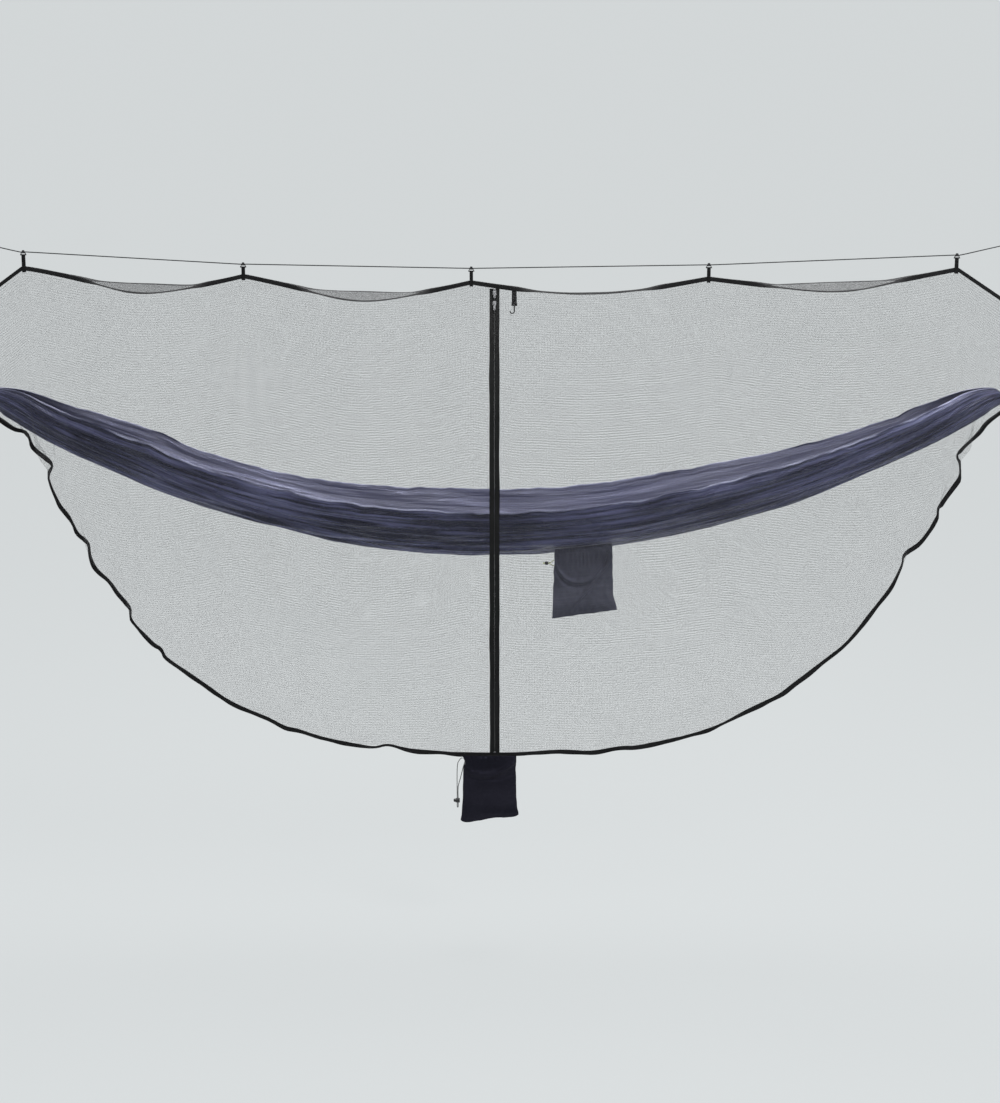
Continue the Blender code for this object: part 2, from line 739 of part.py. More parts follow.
def line_route():
    """The cord's points: taut between hangers, straight through each, rising outside."""
    route = []
    for i, (x, z) in enumerate(zip(HANGER_PLACES, LINE_HEIGHTS)):
        run = [Vector((x - LINE_STRAIGHT, 0.0, z)), Vector((x + LINE_STRAIGHT, 0.0, z))]
        if i == 0:
            outside = Vector((x - LINE_OVERHANG, 0.0, z + LINE_OVERHANG * LINE_RISE))
            route += [outside.lerp(run[0], t) for t in spaced(0.0, 1.0, 4)[:-1]]
        route += run
        if i < len(HANGER_PLACES) - 1:
            after = Vector((HANGER_PLACES[i + 1] - LINE_STRAIGHT, 0.0, LINE_HEIGHTS[i + 1]))
            route += [run[1].lerp(after, t) for t in spaced(0.0, 1.0, 5)[1:-1]]
        else:
            outside = Vector((x + LINE_OVERHANG, 0.0, z + LINE_OVERHANG * LINE_RISE))
            route += [run[1].lerp(outside, t) for t in spaced(0.0, 1.0, 4)[1:]]
    return route


def make_ridgeline():
    route = line_route()
    tube("ridgeline_cord", route, LINE_DIAMETER / 2, BLACK_CORD)
    for name, end, before in (
        ("ridgeline_left_eye", route[0], route[1]), ("ridgeline_right_eye", route[-1], route[-2]),
    ):
        run = (end - before).normalized()
        up = AXIS_Y.cross(run)
        place = frame_matrix(up, AXIS_Y, run, end + run * GAP)
        bulge = KNOT_RADIUS
        neck = LINE_DIAMETER / 2
        profile = [(0.0, 0.0), (neck, 0.0), (bulge * 0.8, KNOT_LENGTH * 0.15)]
        profile += [(bulge, KNOT_LENGTH * 0.4), (bulge, KNOT_LENGTH * 0.6)]
        profile += [(bulge * 0.8, KNOT_LENGTH * 0.85), (neck, KNOT_LENGTH), (0.0, KNOT_LENGTH)]
        knot = turned(name, profile, place, BLACK_CORD, steps=12)
        middle = end + run * (KNOT_LENGTH * 0.7)
        loop = []
        for t in spaced(0.0, 2 * math.pi, 18):
            away = (1 - math.cos(t)) / 2 * EYE_LENGTH
            across = math.sin(t) * EYE_WIDTH / 2 * (0.55 + away / EYE_LENGTH * 0.6)
            loop.append(middle + run * away + up * (across + math.cos(t / 2) * neck))
        cord = as_mesh(tube(name + "_loop", loop, neck, BLACK_CORD, resolution=1))
        combine(knot, cord, "UNION")


def cutter(name, size, place, sides=0):
    """A box, or a cylinder along local Z, that cuts another piece."""
    bm = bmesh.new()
    if sides:
        bmesh.ops.create_cone(
            bm, cap_ends=True, segments=sides, radius1=size[0], radius2=size[0], depth=size[2],
        )
    else:
        bmesh.ops.create_cube(bm, size=1.0, matrix=Matrix.Diagonal((*size, 1.0)))
    mesh = bpy.data.meshes.new(name)
    bm.to_mesh(mesh)
    bm.free()
    mesh.transform(place)
    item = bpy.data.objects.new(name, mesh)
    CUTTERS.objects.link(item)
    return item


FACING = frame_matrix(AXIS_X, AXIS_Z, -AXIS_Y, Vector((0.0, 0.0, 0.0)))
SLOT_FLOOR = -RING_BOTTOM + RING_BAR
SLOT_TOP = SLOT_FLOOR + RING_SLOT


def hanger_ring_mesh():
    """A moulded triangle: a bore for the cord, a slit behind it, and a slot for the strap."""
    top, shoulder, foot = RING_TOP_WIDTH / 2, RING_SHOULDER_WIDTH / 2, RING_FOOT_WIDTH / 2
    outline = [
        (-foot, -RING_BOTTOM), (foot, -RING_BOTTOM), (foot, SLOT_FLOOR),
        (shoulder, -RING_SHOULDER), (top, RING_TOP), (-top, RING_TOP),
        (-shoulder, -RING_SHOULDER), (-foot, SLOT_FLOOR),
    ]
    half = STRAP_WIDTH / 2 + GAP
    slot = [(-half, SLOT_FLOOR), (half, SLOT_FLOOR), (half, SLOT_TOP), (-half, SLOT_TOP)]
    ring = plate(
        "hanger_ring", rounded(outline, RING_BAR / 3, 2), [slot], RING_DEPTH, FACING, BLACK_PLASTIC,
    )
    bore_radius = LINE_DIAMETER / 2 + GAP
    across = RING_FOOT_WIDTH + 2 * CUT_OVERRUN
    lying = frame_matrix(AXIS_Y, AXIS_Z, AXIS_X, Vector((0.0, 0.0, 0.0)))
    bore = cutter("cord_bore", (bore_radius, bore_radius, across), lying, 16)
    slit_depth = RING_DEPTH / 2 + CUT_OVERRUN
    slit_place = Matrix.Translation((0.0, slit_depth / 2, 0.0))
    slit = cutter("cord_slit", (across, slit_depth, RING_SNAP), slit_place)
    combine(ring, bore, "DIFFERENCE")
    combine(ring, slit, "DIFFERENCE")
    return baked_mesh(ring)


def ribbon(name, path, side, width, thickness, material):
    """A folded strap: a strip along a path, as wide as given along side."""
    rows = [[point - side * (width / 2), point + side * (width / 2)] for point in path]
    strap = sheet(name, rows, thickness, material)
    strap.modifiers["thickness"].use_even_offset = True
    strap.data.shade_flat()
    return strap


def strap_path(x, line_z, band_z):
    """Down the front of the bands, up over the ring's bar, and down behind."""
    at_bands = PINCH_WIDTH / 2 + BAND_THICKNESS / 2 + GAP + STRAP_THICKNESS / 2
    at_bar = RING_DEPTH / 2 + GAP + STRAP_THICKNESS / 2
    low = band_z - STRAP_TAIL
    join = band_z + BAND_WIDTH / 2 + STRAP_THICKNESS
    bar_top = line_z + SLOT_FLOOR
    over = bar_top + GAP + STRAP_THICKNESS / 2
    half = [(at_bands, low), (at_bands, join), (at_bar, line_z - RING_BOTTOM), (at_bar, bar_top)]
    half += [(at_bar - STRAP_THICKNESS / 2, over)]
    front = [Vector((x, -y, z)) for y, z in half]
    back = [Vector((x, y, z)) for y, z in reversed(half)]
    return front + back


def make_hangers():
    mesh = hanger_ring_mesh()
    for i, (x, line_z) in enumerate(zip(HANGER_PLACES, LINE_HEIGHTS), start=1):
        ring = bpy.data.objects.new(f"hanger_ring_{i}", mesh)
        ring.location = (x, 0.0, line_z)
        PARTS.objects.link(ring)
        path = strap_path(x, line_z, ridge_point(x)[0])
        ribbon(f"hanger_strap_{i}", path, AXIS_X, STRAP_WIDTH, STRAP_THICKNESS, BLACK_TAPE)


# Zip: two tapes with their coils, sliders that run round the arc, and stops
ZIP_MARGIN = 0.003      # tape ends short of the band and the rim


def zip_ends():
    middle, across = band_frame(0.0, -1)
    top = middle - across * (BAND_WIDTH / 2 + GAP + NET_CLOTH / 2)
    rim = along(RIGHT_RIM, [0.0])[0]
    seam = RIM_WIDTH / 2 + GAP + NET_CLOTH / 2
    return Vector((-top.y, top.z)), Vector(((NET_CLOTH + GAP) / 2, rim.z + seam))


ZIP_TOP, ZIP_BOTTOM = zip_ends()
ZIP_CHORD = (ZIP_TOP - ZIP_BOTTOM).length
ZIP_RADIUS = (ZIP_CHORD * ZIP_CHORD / 4 + BELLY * BELLY) / (2 * BELLY)
ZIP_ARC = 2 * math.asin(ZIP_CHORD / 2 / ZIP_RADIUS)
ZIP_RUN = ZIP_ARC * ZIP_RADIUS


def zip_frame(distance):
    """A place on the zip's arc, with the ways up along it and out of it."""
    share = distance / ZIP_RUN
    flat = arc_profile(ZIP_TOP, ZIP_BOTTOM, BELLY, share)
    chord = ZIP_TOP - ZIP_BOTTOM
    lean = math.atan2(chord.x, chord.y) - ZIP_ARC * (0.5 - share)
    up = Vector((0.0, -math.sin(lean), math.cos(lean)))
    return Vector((0.0, -flat.x, flat.y)), up, AXIS_X.cross(up)


def zip_axis():
    """The line that the sliders turn about, as (Y, Z)."""
    place, up, out = zip_frame(ZIP_RUN / 2)
    centre = place - out * ZIP_RADIUS
    return centre.y, centre.z


def make_zip_tapes():
    slit, edge, coil = ZIP_SLIT / 2, ZIP_WIDTH / 2, ZIP_SLIT / 2 + COIL_WIDTH
    face, back = TAPE_THICKNESS / 2, TAPE_THICKNESS / 2 + COIL_HEIGHT
    half = [(slit, face), (edge, face), (edge, -face), (coil, -face), (coil, -back), (slit, -back)]
    for name, side in (("zip_tape_left", -1), ("zip_tape_right", 1)):
        outline = [(side * a, b) for a, b in half]
        rings = []
        for distance in spaced(ZIP_MARGIN, ZIP_RUN - ZIP_MARGIN, ZIP_ROWS):
            place, up, out = zip_frame(distance)
            rings.append(ring_at(place, AXIS_X, out, outline))
        loft(name, rings, BLACK_TAPE)


PLATE_FLOOR = TAPE_THICKNESS / 2 + RUN_GAP
PLATE_TOP = PLATE_FLOOR + SLIDER_PLATE
PULL_AXIS_HEIGHT = PLATE_TOP + PULL_BAR / 2 + GAP


def slider_ring(y, front_half):
    """The slider's section: a front plate, a post in the slit, and a back channel."""
    post = ZIP_SLIT / 2 - RUN_GAP
    channel = ZIP_SLIT / 2 + COIL_WIDTH + RUN_GAP
    outside = channel + SLIDER_FLANGE
    lip = -TAPE_THICKNESS / 2 - RUN_GAP
    floor = -TAPE_THICKNESS / 2 - COIL_HEIGHT - RUN_GAP
    under = floor - SLIDER_PLATE
    half = [
        (post, floor), (channel, floor), (channel, lip), (outside, lip), (outside, under),
    ]
    right = [(front_half, PLATE_TOP), (front_half, PLATE_FLOOR), (post, PLATE_FLOOR), *half]
    left = [(-a, b) for a, b in reversed(right)]
    return [Vector((a, y, b)) for a, b in right + left]


def make_slider(name, place):
    nose, shoulder = SLIDER_NOSE_WIDTH / 2, SLIDER_WIDTH / 2
    half = SLIDER_LENGTH / 2
    rings = [
        slider_ring(-half, nose), slider_ring(-half / 2, shoulder),
        slider_ring(half / 2, shoulder), slider_ring(half, nose),
    ]
    slider = loft(name, [[place @ point for point in ring] for ring in rings], SLIDER_METAL)
    foot, head = CROWN_LENGTH / 2, CROWN_LENGTH / 2 - CROWN_BAR
    low, high = PLATE_TOP - GAP, PLATE_TOP + CROWN_HEIGHT
    inside = foot - CROWN_BAR
    outline = [
        (-foot, low), (-foot, high - CROWN_BAR), (-head, high), (head, high),
        (foot, high - CROWN_BAR), (foot, low), (inside, low), (inside, high - CROWN_BAR),
        (-inside, high - CROWN_BAR), (-inside, low),
    ]
    upright = frame_matrix(AXIS_Y, AXIS_Z, AXIS_X, Vector((0.0, 0.0, 0.0)))
    crown = plate(name + "_crown", outline, [], CROWN_WIDTH, place @ upright, SLIDER_METAL)
    combine(slider, crown, "UNION")
    return slider


def make_pull(name, length, place):
    """A flat tab hooked under the slider's crown, lying down the tape."""
    half = PULL_WIDTH / 2
    top, bottom = PULL_BAR / 2, -length
    outline = [(-half, top), (half, top), (half, bottom + half), (half * 0.6, bottom)]
    outline += [(-half * 0.6, bottom), (-half, bottom + half)]
    eye = CROWN_WIDTH / 2 + RUN_GAP
    reach = CROWN_LENGTH / 2 + RUN_GAP
    window = [(-eye, -top), (-eye, -reach), (eye, -reach), (eye, -top)]
    hole = circle(half * 0.5, 10, (0.0, bottom + half * 1.1))
    lying = place @ Matrix.Translation((0.0, 0.0, PULL_AXIS_HEIGHT))
    pull = plate(
        name, rounded(outline, PULL_BAR / 2, 2), [window, hole], PULL_THICKNESS, lying, SLIDER_METAL,
    )
    set_origin(pull, lying.to_translation())


def make_zip():
    make_zip_tapes()
    for name, distance, length in (
        ("upper", UPPER_SLIDER_DROP, UPPER_PULL_LENGTH), ("lower", LOWER_SLIDER_DROP, LOWER_PULL_LENGTH),
    ):
        point, up, out = zip_frame(distance)
        place = frame_matrix(AXIS_X, up, out, point)
        slider = make_slider(name + "_slider", place)
        set_origin(slider, (0.0, *zip_axis()))
        make_pull(name + "_pull", length, place)
    for name, distance in (
        ("zip_top_stop", ZIP_MARGIN + STOP_LENGTH / 2),
        ("zip_bottom_stop", ZIP_RUN - ZIP_MARGIN - STOP_LENGTH / 2),
    ):
        point, up, out = zip_frame(distance)
        lift = TAPE_THICKNESS / 2 + GAP + SLIDER_PLATE / 2
        place = frame_matrix(AXIS_X, up, out, point + out * lift)
        outline = rounded(box_outline(STOP_WIDTH, STOP_LENGTH), SLIDER_PLATE / 2, 2)
        plate(name, outline, [], SLIDER_PLATE, place, SLIDER_METAL)


# Gear hook: a folded strap inside the front wall and a moulded hook
def hook_seat():
    """Where the strap is sewn inside the band: place, way along, way in and way up."""
    left, across_left = band_frame(HOOK_X - HOOK_SEAT_HALF, -1)
    right, across_right = band_frame(HOOK_X + HOOK_SEAT_HALF, -1)
    inward = (across_left + across_right).cross(right - left).normalized()
    side = inward.cross(AXIS_Z).normalized()
    lift = BAND_THICKNESS / 2 + GAP + STRAP_THICKNESS / 2
    return (left + right) / 2 + inward * lift, side, AXIS_Z.cross(side), side.cross(inward)


def hook_outline(low):
    """A bar and slot for the strap above, an open hook below."""
    half, bar, stem = HOOK_BAR_WIDTH / 2, HOOK_BAR / 2, HOOK_STEM / 2
    inner, outer = HOOK_RADIUS - stem, HOOK_RADIUS + stem
    drop = -HOOK_DROP + outer
    outline = [(-half, bar), (-half, low - stem), (-stem, low - HOOK_STEM)]
    for angle in spaced(0.0, -math.pi, 10):
        outline.append((-HOOK_RADIUS + inner * math.cos(angle), drop + inner * math.sin(angle)))
    for angle in spaced(-math.pi, 0.0, 10):
        outline.append((-HOOK_RADIUS + outer * math.cos(angle), drop + outer * math.sin(angle)))
    return outline + [(stem, low - HOOK_STEM), (half, low - stem), (half, bar)]


def make_gear_hook():
    seat, side, inward, up = hook_seat()
    fold = math.hypot(HOOK_THICKNESS, HOOK_BAR) / 2 + GAP + STRAP_THICKNESS / 2
    start = seat - up * (BAND_WIDTH / 2 + STRAP_THICKNESS)
    bar_middle = start + inward * fold - AXIS_Z * HOOK_STRAP_LENGTH
    path = [seat + up * (BAND_WIDTH / 4), start]
    for angle in spaced(0.0, math.pi, 6):
        path.append(bar_middle - inward * (fold * math.cos(angle)) - AXIS_Z * (fold * math.sin(angle)))
    layer = STRAP_THICKNESS + GAP
    path.append(start + inward * (layer * 1.5) - AXIS_Z * BAND_WIDTH)
    path.append(start + inward * layer)
    ribbon("gear_hook_strap", path, side, HOOK_STRAP_WIDTH, STRAP_THICKNESS, BLACK_TAPE)
    low = -fold - STRAP_THICKNESS / 2 - GAP
    slot_half, bar = HOOK_STRAP_WIDTH / 2 + GAP, HOOK_BAR / 2
    slot = [(-slot_half, -bar), (slot_half, -bar), (slot_half, low), (-slot_half, low)]
    place = frame_matrix(side, AXIS_Z, -inward, bar_middle)
    hook = plate("gear_hook", hook_outline(low), [slot], HOOK_THICKNESS, place, GREY_PLASTIC)
    set_origin(hook, bar_middle)


# Hammock: one length of cloth, a trough in the middle and gathered at its ends
def hammock_spread(x):
    """Share of the way from the middle to the gathered end."""
    return min(1.0, abs(x) / BUNDLE_START)


def hammock_angle(x, share):
    """Angle round the trough: 0 at the near hem's level, a quarter turn at the bottom."""
    curl = HEM_CURL * smooth_step(CURL_START_SHARE, 1.0, hammock_spread(x))
    return mix(-curl, math.pi + curl, share)


def hammock_point(x, share, lift=0.0):
    """A point on the cloth, near hem (share 0) to far hem (share 1), lifted off its outside."""
    base, run, up = hammock_base(x)
    spread = hammock_spread(x)
    half_width = mix(BUNDLE_RADIUS, HAMMOCK_WIDTH / 2, fullness(spread, TROUGH_WIDTH_POWERS))
    angle = hammock_angle(x, share)
    curled = 1 + math.sin(-hammock_angle(x, 0.0))
    gathered = BUNDLE_RADIUS * (1 + math.sin(HEM_CURL))
    depth = mix(gathered, HAMMOCK_DEPTH, fullness(spread, TROUGH_DEPTH_POWERS)) / curled
    fold = FOLD_DEPTH * math.sin(2 * math.pi * FOLD_COUNT * share + FOLD_TURN * spread ** 2)
    fold *= math.sin(math.pi * share) ** 0.5 * (1 - spread ** 4) if 0 < share < 1 else 0.0
    rise = FAR_HEM_RISE * max(0.0, -math.cos(angle)) * (1 - spread)
    across = -(half_width + fold + lift) * math.cos(angle)
    height = depth - (depth + fold + lift) * math.sin(angle) + rise
    return base + up * height + AXIS_Y * across


def hammock_stations():
    """Places along the trough, closer together where it gathers."""
    shares = spaced(-1.0, 1.0, HAMMOCK_STATIONS)
    return [BUNDLE_START * mix(t, math.sin(math.pi * t / 2), STATION_SHARE) for t in shares]


def make_hammock_cloth():
    rows = []
    for x in [-HAMMOCK_END, *hammock_stations(), HAMMOCK_END]:
        rows.append([hammock_point(x, share) for share in spaced(0.0, 1.0, HAMMOCK_ROWS)])
    sheet("hammock_body", rows, HAMMOCK_CLOTH, NAVY_CLOTH)
    reach = HEM_DIAMETER / 2 + GAP
    for name, share in (("hammock_near_hem", 0.0), ("hammock_far_hem", 1.0)):
        route = []
        for x in hammock_stations():
            edge = hammock_point(x, share)
            inner = hammock_point(x, abs(share - 1 / HAMMOCK_ROWS))
            route.append(edge + (edge - inner).normalized() * reach)
        for end, before in ((0, 1), (-1, -2)):
            short = HEM_DIAMETER / (route[end] - route[before]).length
            route[end] = route[end].lerp(route[before], short)
        tube(name, route, HEM_DIAMETER / 2, NAVY_CLOTH, resolution=1)


def rope_half_width(distance):
    near = BUNDLE_RADIUS - HAMMOCK_CLOTH / 2 - ROPE_DIAMETER / 2 - 3 * GAP
    together = (ROPE_DIAMETER + ROPE_SPLIT) / 2
    far = (BINER_ROD + ROPE_DIAMETER) / 2 + GAP
    flare = smooth_step(ROPE_LEAD - ROPE_FLARE, ROPE_LEAD, distance)
    return mix(mix(near, together, smooth_step(0.0, ROPE_TAPER, distance)), far, flare)


def make_rope_loop(name, side):
    middle, out, up = end_frame(side)
    places = [-ROPE_DEPTH, 0.0] + spaced(0.0, ROPE_TAPER, 6)[1:]
    places += [(ROPE_TAPER + ROPE_LEAD - ROPE_FLARE) / 2] + spaced(ROPE_LEAD - ROPE_FLARE, ROPE_LEAD, 5)
    loop = [(d, rope_half_width(d)) for d in places]
    far = rope_half_width(ROPE_LEAD)
    near = rope_half_width(0.0)
    for angle in spaced(math.pi / 2, -math.pi / 2, 8)[1:-1]:
        loop.append((ROPE_LEAD + far * math.cos(angle), far * math.sin(angle)))
    loop += [(d, -rope_half_width(d)) for d in reversed(places)]
    for angle in spaced(-math.pi / 2, -3 * math.pi / 2, 8)[1:-1]:
        loop.append((-ROPE_DEPTH + near * math.cos(angle), near * math.sin(angle)))
    route = [middle + out * d + AXIS_Y * w for d, w in loop]
    tube(name, route, ROPE_DIAMETER / 2, BLACK_CORD, cyclic=True, resolution=1)


def make_whipping(name, side):
    middle, out, up = end_frame(side)
    inner = BUNDLE_RADIUS + HAMMOCK_CLOTH / 2 + 2 * GAP
    outer = inner + WHIPPING_WALL
    length, soft = WHIPPING_LENGTH, WHIPPING_WALL / 3
    profile = [
        (inner, 0.0), (outer - soft, 0.0), (outer, soft), (outer, length - soft),
        (outer - soft, length), (inner, length),
    ]
    start = middle - out * ((BUNDLE_LENGTH + WHIPPING_LENGTH) / 2)
    place = frame_matrix(AXIS_Y, out.cross(AXIS_Y), out, start)
    turned(name, profile, place, BLACK_CORD, steps=16)


# Carabiner: an open oval rod whose ears hold the gate's tongue on a pin
def biner_frame(side):
    middle, out, up = end_frame(side)
    return frame_matrix(out, up, out.cross(up), middle + out * ROPE_LEAD)


OVAL_RADIUS = (BINER_WIDTH - BINER_ROD) / 2
OVAL_LENGTH = BINER_LENGTH - BINER_ROD
GATE_START = (OVAL_LENGTH - GATE_LENGTH) / 2    # the pin, along the carabiner
GATE_END = GATE_START + GATE_LENGTH


def make_carabiner(side_name, side):
    place = biner_frame(side)
    rod = []
    for angle in spaced(math.pi / 2, -math.pi / 2, 10):
        x = OVAL_LENGTH - OVAL_RADIUS + OVAL_RADIUS * math.cos(angle)
        rod.append(Vector((x, OVAL_RADIUS * math.sin(angle), 0.0)))
    for angle in spaced(-math.pi / 2, -3 * math.pi / 2, 10):
        x = OVAL_RADIUS + OVAL_RADIUS * math.cos(angle)
        rod.append(Vector((x, OVAL_RADIUS * math.sin(angle), 0.0)))
    start = Vector((GATE_END + GAP, OVAL_RADIUS, 0.0))
    end = Vector((GATE_START + EAR_REACH, OVAL_RADIUS, 0.0))
    name = side_name + "_carabiner"
    path = [place @ point for point in [start, *rod, end]]
    body = as_mesh(tube(name, path, BINER_ROD / 2, STEEL))
    smooth_shade(body)
    pin = Vector((GATE_START, OVAL_RADIUS, 0.0))
    pin_radius = GATE_PIN_DIAMETER / 2
    hole_radius = pin_radius + GATE_PIN_GAP
    through = BINER_ROD + 2 * CUT_OVERRUN
    tongue_back = EAR_REACH * math.sqrt(2) + GAP
    slot_length = tongue_back + EAR_REACH + CUT_OVERRUN
    slot_middle = pin + Vector(((slot_length - 2 * tongue_back) / 2, 0.0, 0.0))
    slot = cutter(
        name + "_slot", (slot_length, through, GATE_TONGUE + 2 * GAP),
        place @ Matrix.Translation(slot_middle),
    )
    at_pin = place @ Matrix.Translation(pin)
    combine(body, slot, "DIFFERENCE")
    combine(body, cutter(name + "_hole", (hole_radius, 0.0, through), at_pin, 16), "DIFFERENCE")

    gate_radius = GATE_DIAMETER / 2
    shoulder = pin + Vector((GATE_SHOULDER, 0.0, 0.0))
    tip = Vector((GATE_END, OVAL_RADIUS, 0.0))
    run = [place @ shoulder.lerp(tip, t) for t in spaced(0.0, 1.0, 3)]
    gate = as_mesh(tube(name + "_gate", run, gate_radius, STEEL))
    smooth_shade(gate)
    set_origin(gate, place @ pin)
    tongue = rounded(
        [
            (-EAR_REACH, -EAR_REACH), (GATE_SHOULDER + gate_radius, -EAR_REACH),
            (GATE_SHOULDER + gate_radius, EAR_REACH), (-EAR_REACH, EAR_REACH),
        ],
        EAR_REACH / 2, 2,
    )
    blade = plate(
        name + "_tongue", tongue, [circle(hole_radius, 16)], GATE_TONGUE, at_pin, STEEL,
    )
    combine(gate, blade, "UNION")
    half = BINER_ROD / 2 - GAP
    profile = [(0.0, -half), (pin_radius, -half), (pin_radius, half), (0.0, half)]
    turned(name + "_pin", profile, at_pin, STEEL, steps=12)


def make_hammock():
    make_hammock_cloth()
    for side_name, side in (("left", -1), ("right", 1)):
        make_whipping(side_name + "_whipping", side)
        make_rope_loop(side_name + "_rope_loop", side)
        make_carabiner(side_name, side)


# Flat bags: the pouch under the hammock and the stuff sack under the net
# Half of a bag's section, left edge to right edge, as shares of its half width and half depth
BAG_SHARES = ((-0.97, 0.6), (-0.6, 1.0), (0.0, 1.0), (0.6, 1.0), (0.97, 0.6))
BAG_FULLNESS_POWER = 0.6


def bag_half_width(widths, share):
    place = share * (len(widths) - 1)
    step = min(int(place), len(widths) - 2)
    return mix(widths[step], widths[step + 1], place - step) / 2


def bag_half_depth(thickness, edge, share):
    return mix(edge, thickness, math.sin(math.pi * share) ** BAG_FULLNESS_POWER) / 2


def bag(name, top, run, widths, height, thickness, edge, material):
    """A flat bag hung from its top edge, thickest in its lower middle."""
    front = [(a, -b) for a, b in BAG_SHARES]
    outline = [(-1.0, 0.0), *front, (1.0, 0.0), *reversed(BAG_SHARES)]
    rings = []
    for share in spaced(0.0, 1.0, len(widths) - 1):
        centre = top - AXIS_Z * (height * share)
        half_width = bag_half_width(widths, share)
        half_depth = bag_half_depth(thickness, edge, share)
        rings.append([centre + run * (a * half_width) + AXIS_Y * (b * half_depth) for a, b in outline])
    item = loft(name, rings, material)
    smooth_shade(item)
    return item


def straight_exit(point, out, diameter):
    """A cord's first points, square to what it comes out of."""
    return [point + out * (GAP + diameter * count) for count in range(3)]


def bag_edge(top, run, widths, height, drop):
    """A point on the bag's left edge, some way down."""
    return top - AXIS_Z * drop - run * bag_half_width(widths, drop / height)


def pouch_seat(x):
    """Where the pouch's top edge meets the cloth above it, and the way along the seam."""
    share = POUCH_ROW / HAMMOCK_ROWS
    point = hammock_point(x, share, HAMMOCK_CLOTH / 2 + GAP)
    run = hammock_base(x)[1]
    return point, run


def pouch_cord_route(first, last):
    """Out of both eyelets, together through the toggle, and round the end loop."""
    middle_z = (first.z + last.z) / 2
    edge_x = (first.x + last.x) / 2
    pitch = POUCH_CORD_PITCH / 2
    join = edge_x - POUCH_CORD_REACH
    tail = edge_x - TOGGLE_PLACE - TOGGLE_TAIL
    halves = []
    for start, side in ((first, 1), (last, -1)):
        level = middle_z + side * pitch
        halves.append([
            *straight_exit(start, -AXIS_X, POUCH_CORD_DIAMETER), Vector((join, start.y, level)),
            Vector((mix(join, tail, 0.5), start.y, level)), Vector((tail + pitch, start.y, level)),
        ])
    return [*halves[0], Vector((tail, first.y, middle_z)), *reversed(halves[1])]


def make_pouch_toggle(middle):
    lying = frame_matrix(AXIS_Y, AXIS_Z, AXIS_X, middle)
    half, soft = TOGGLE_LENGTH / 2, TOGGLE_LENGTH / 5
    profile = [
        (0.0, -half), (TOGGLE_RADIUS - soft, -half), (TOGGLE_RADIUS, -half + soft),
        (TOGGLE_RADIUS, half - soft), (TOGGLE_RADIUS - soft, half), (0.0, half),
    ]
    toggle = turned("pouch_toggle", profile, lying, BLACK_PLASTIC, steps=14)
    reach = POUCH_CORD_DIAMETER / 2 + GAP
    hole = (2 * reach, POUCH_CORD_PITCH + 2 * reach, TOGGLE_LENGTH + 2 * CUT_OVERRUN)
    combine(toggle, cutter("toggle_hole", hole, lying), "DIFFERENCE")


def make_pouch():
    seat, run = pouch_seat(POUCH_X)
    widths = [POUCH_WIDTH * share for share in POUCH_FLARE_SHARES]
    top = seat - AXIS_Y * (POUCH_EDGE / 2) - AXIS_Z * GAP
    pouch = bag("pouch", top, run, widths, POUCH_HEIGHT, POUCH_THICKNESS, POUCH_EDGE, SLATE_CLOTH)
    set_origin(pouch, seat)
    drops = (POUCH_CORD_DROP, POUCH_CORD_DROP + POUCH_CORD_SPREAD)
    first, last = (bag_edge(top, run, widths, POUCH_HEIGHT, drop) for drop in drops)
    route = spline(pouch_cord_route(first, last), 2)
    tube("pouch_drawcord", route, POUCH_CORD_DIAMETER / 2, GREEN_CORD)
    make_pouch_toggle((first + last) / 2 - AXIS_X * TOGGLE_PLACE)


def make_cord_lock(middle):
    """A spring barrel on the sack's drawcord, with a forked button."""
    lying = frame_matrix(AXIS_Y, AXIS_Z, AXIS_X, middle)
    half, soft = LOCK_LENGTH / 2, LOCK_WALL / 2
    bore = LOCK_RADIUS - LOCK_WALL
    floor = half - LOCK_FLOOR
    profile = [
        (bore, -half), (LOCK_RADIUS - soft, -half), (LOCK_RADIUS, -half + soft),
        (LOCK_RADIUS, half - soft), (LOCK_RADIUS - soft, half), (0.0, half), (0.0, floor),
        (bore, floor),
    ]
    lock = turned("stuff_sack_cord_lock", profile, lying, BLACK_PLASTIC)
    reach = DRAWCORD_DIAMETER / 2 + GAP
    width = DRAWCORD_PITCH + 2 * reach
    through = 2 * (LOCK_RADIUS + CUT_OVERRUN)
    place = Matrix.Translation(middle)
    combine(lock, cutter("lock_hole", (width, 2 * reach, through), place), "DIFFERENCE")
    radius = bore - RUN_GAP
    end = floor - BUTTON_TRAVEL - RUN_GAP
    start = -half - BUTTON_PROUD
    dome = BUTTON_PROUD / 3
    profile = [
        (0.0, start), (radius - dome, start), (radius, start + dome), (radius, end), (0.0, end),
    ]
    button = turned("stuff_sack_lock_button", profile, lying, BLACK_PLASTIC)
    slot_start = -width / 2 - BUTTON_TRAVEL
    slot_length = end - slot_start + CUT_OVERRUN
    slot_middle = middle + AXIS_X * (slot_start + slot_length / 2)
    slot = cutter("button_slot", (slot_length, 2 * reach, through), Matrix.Translation(slot_middle))
    combine(button, slot, "DIFFERENCE")


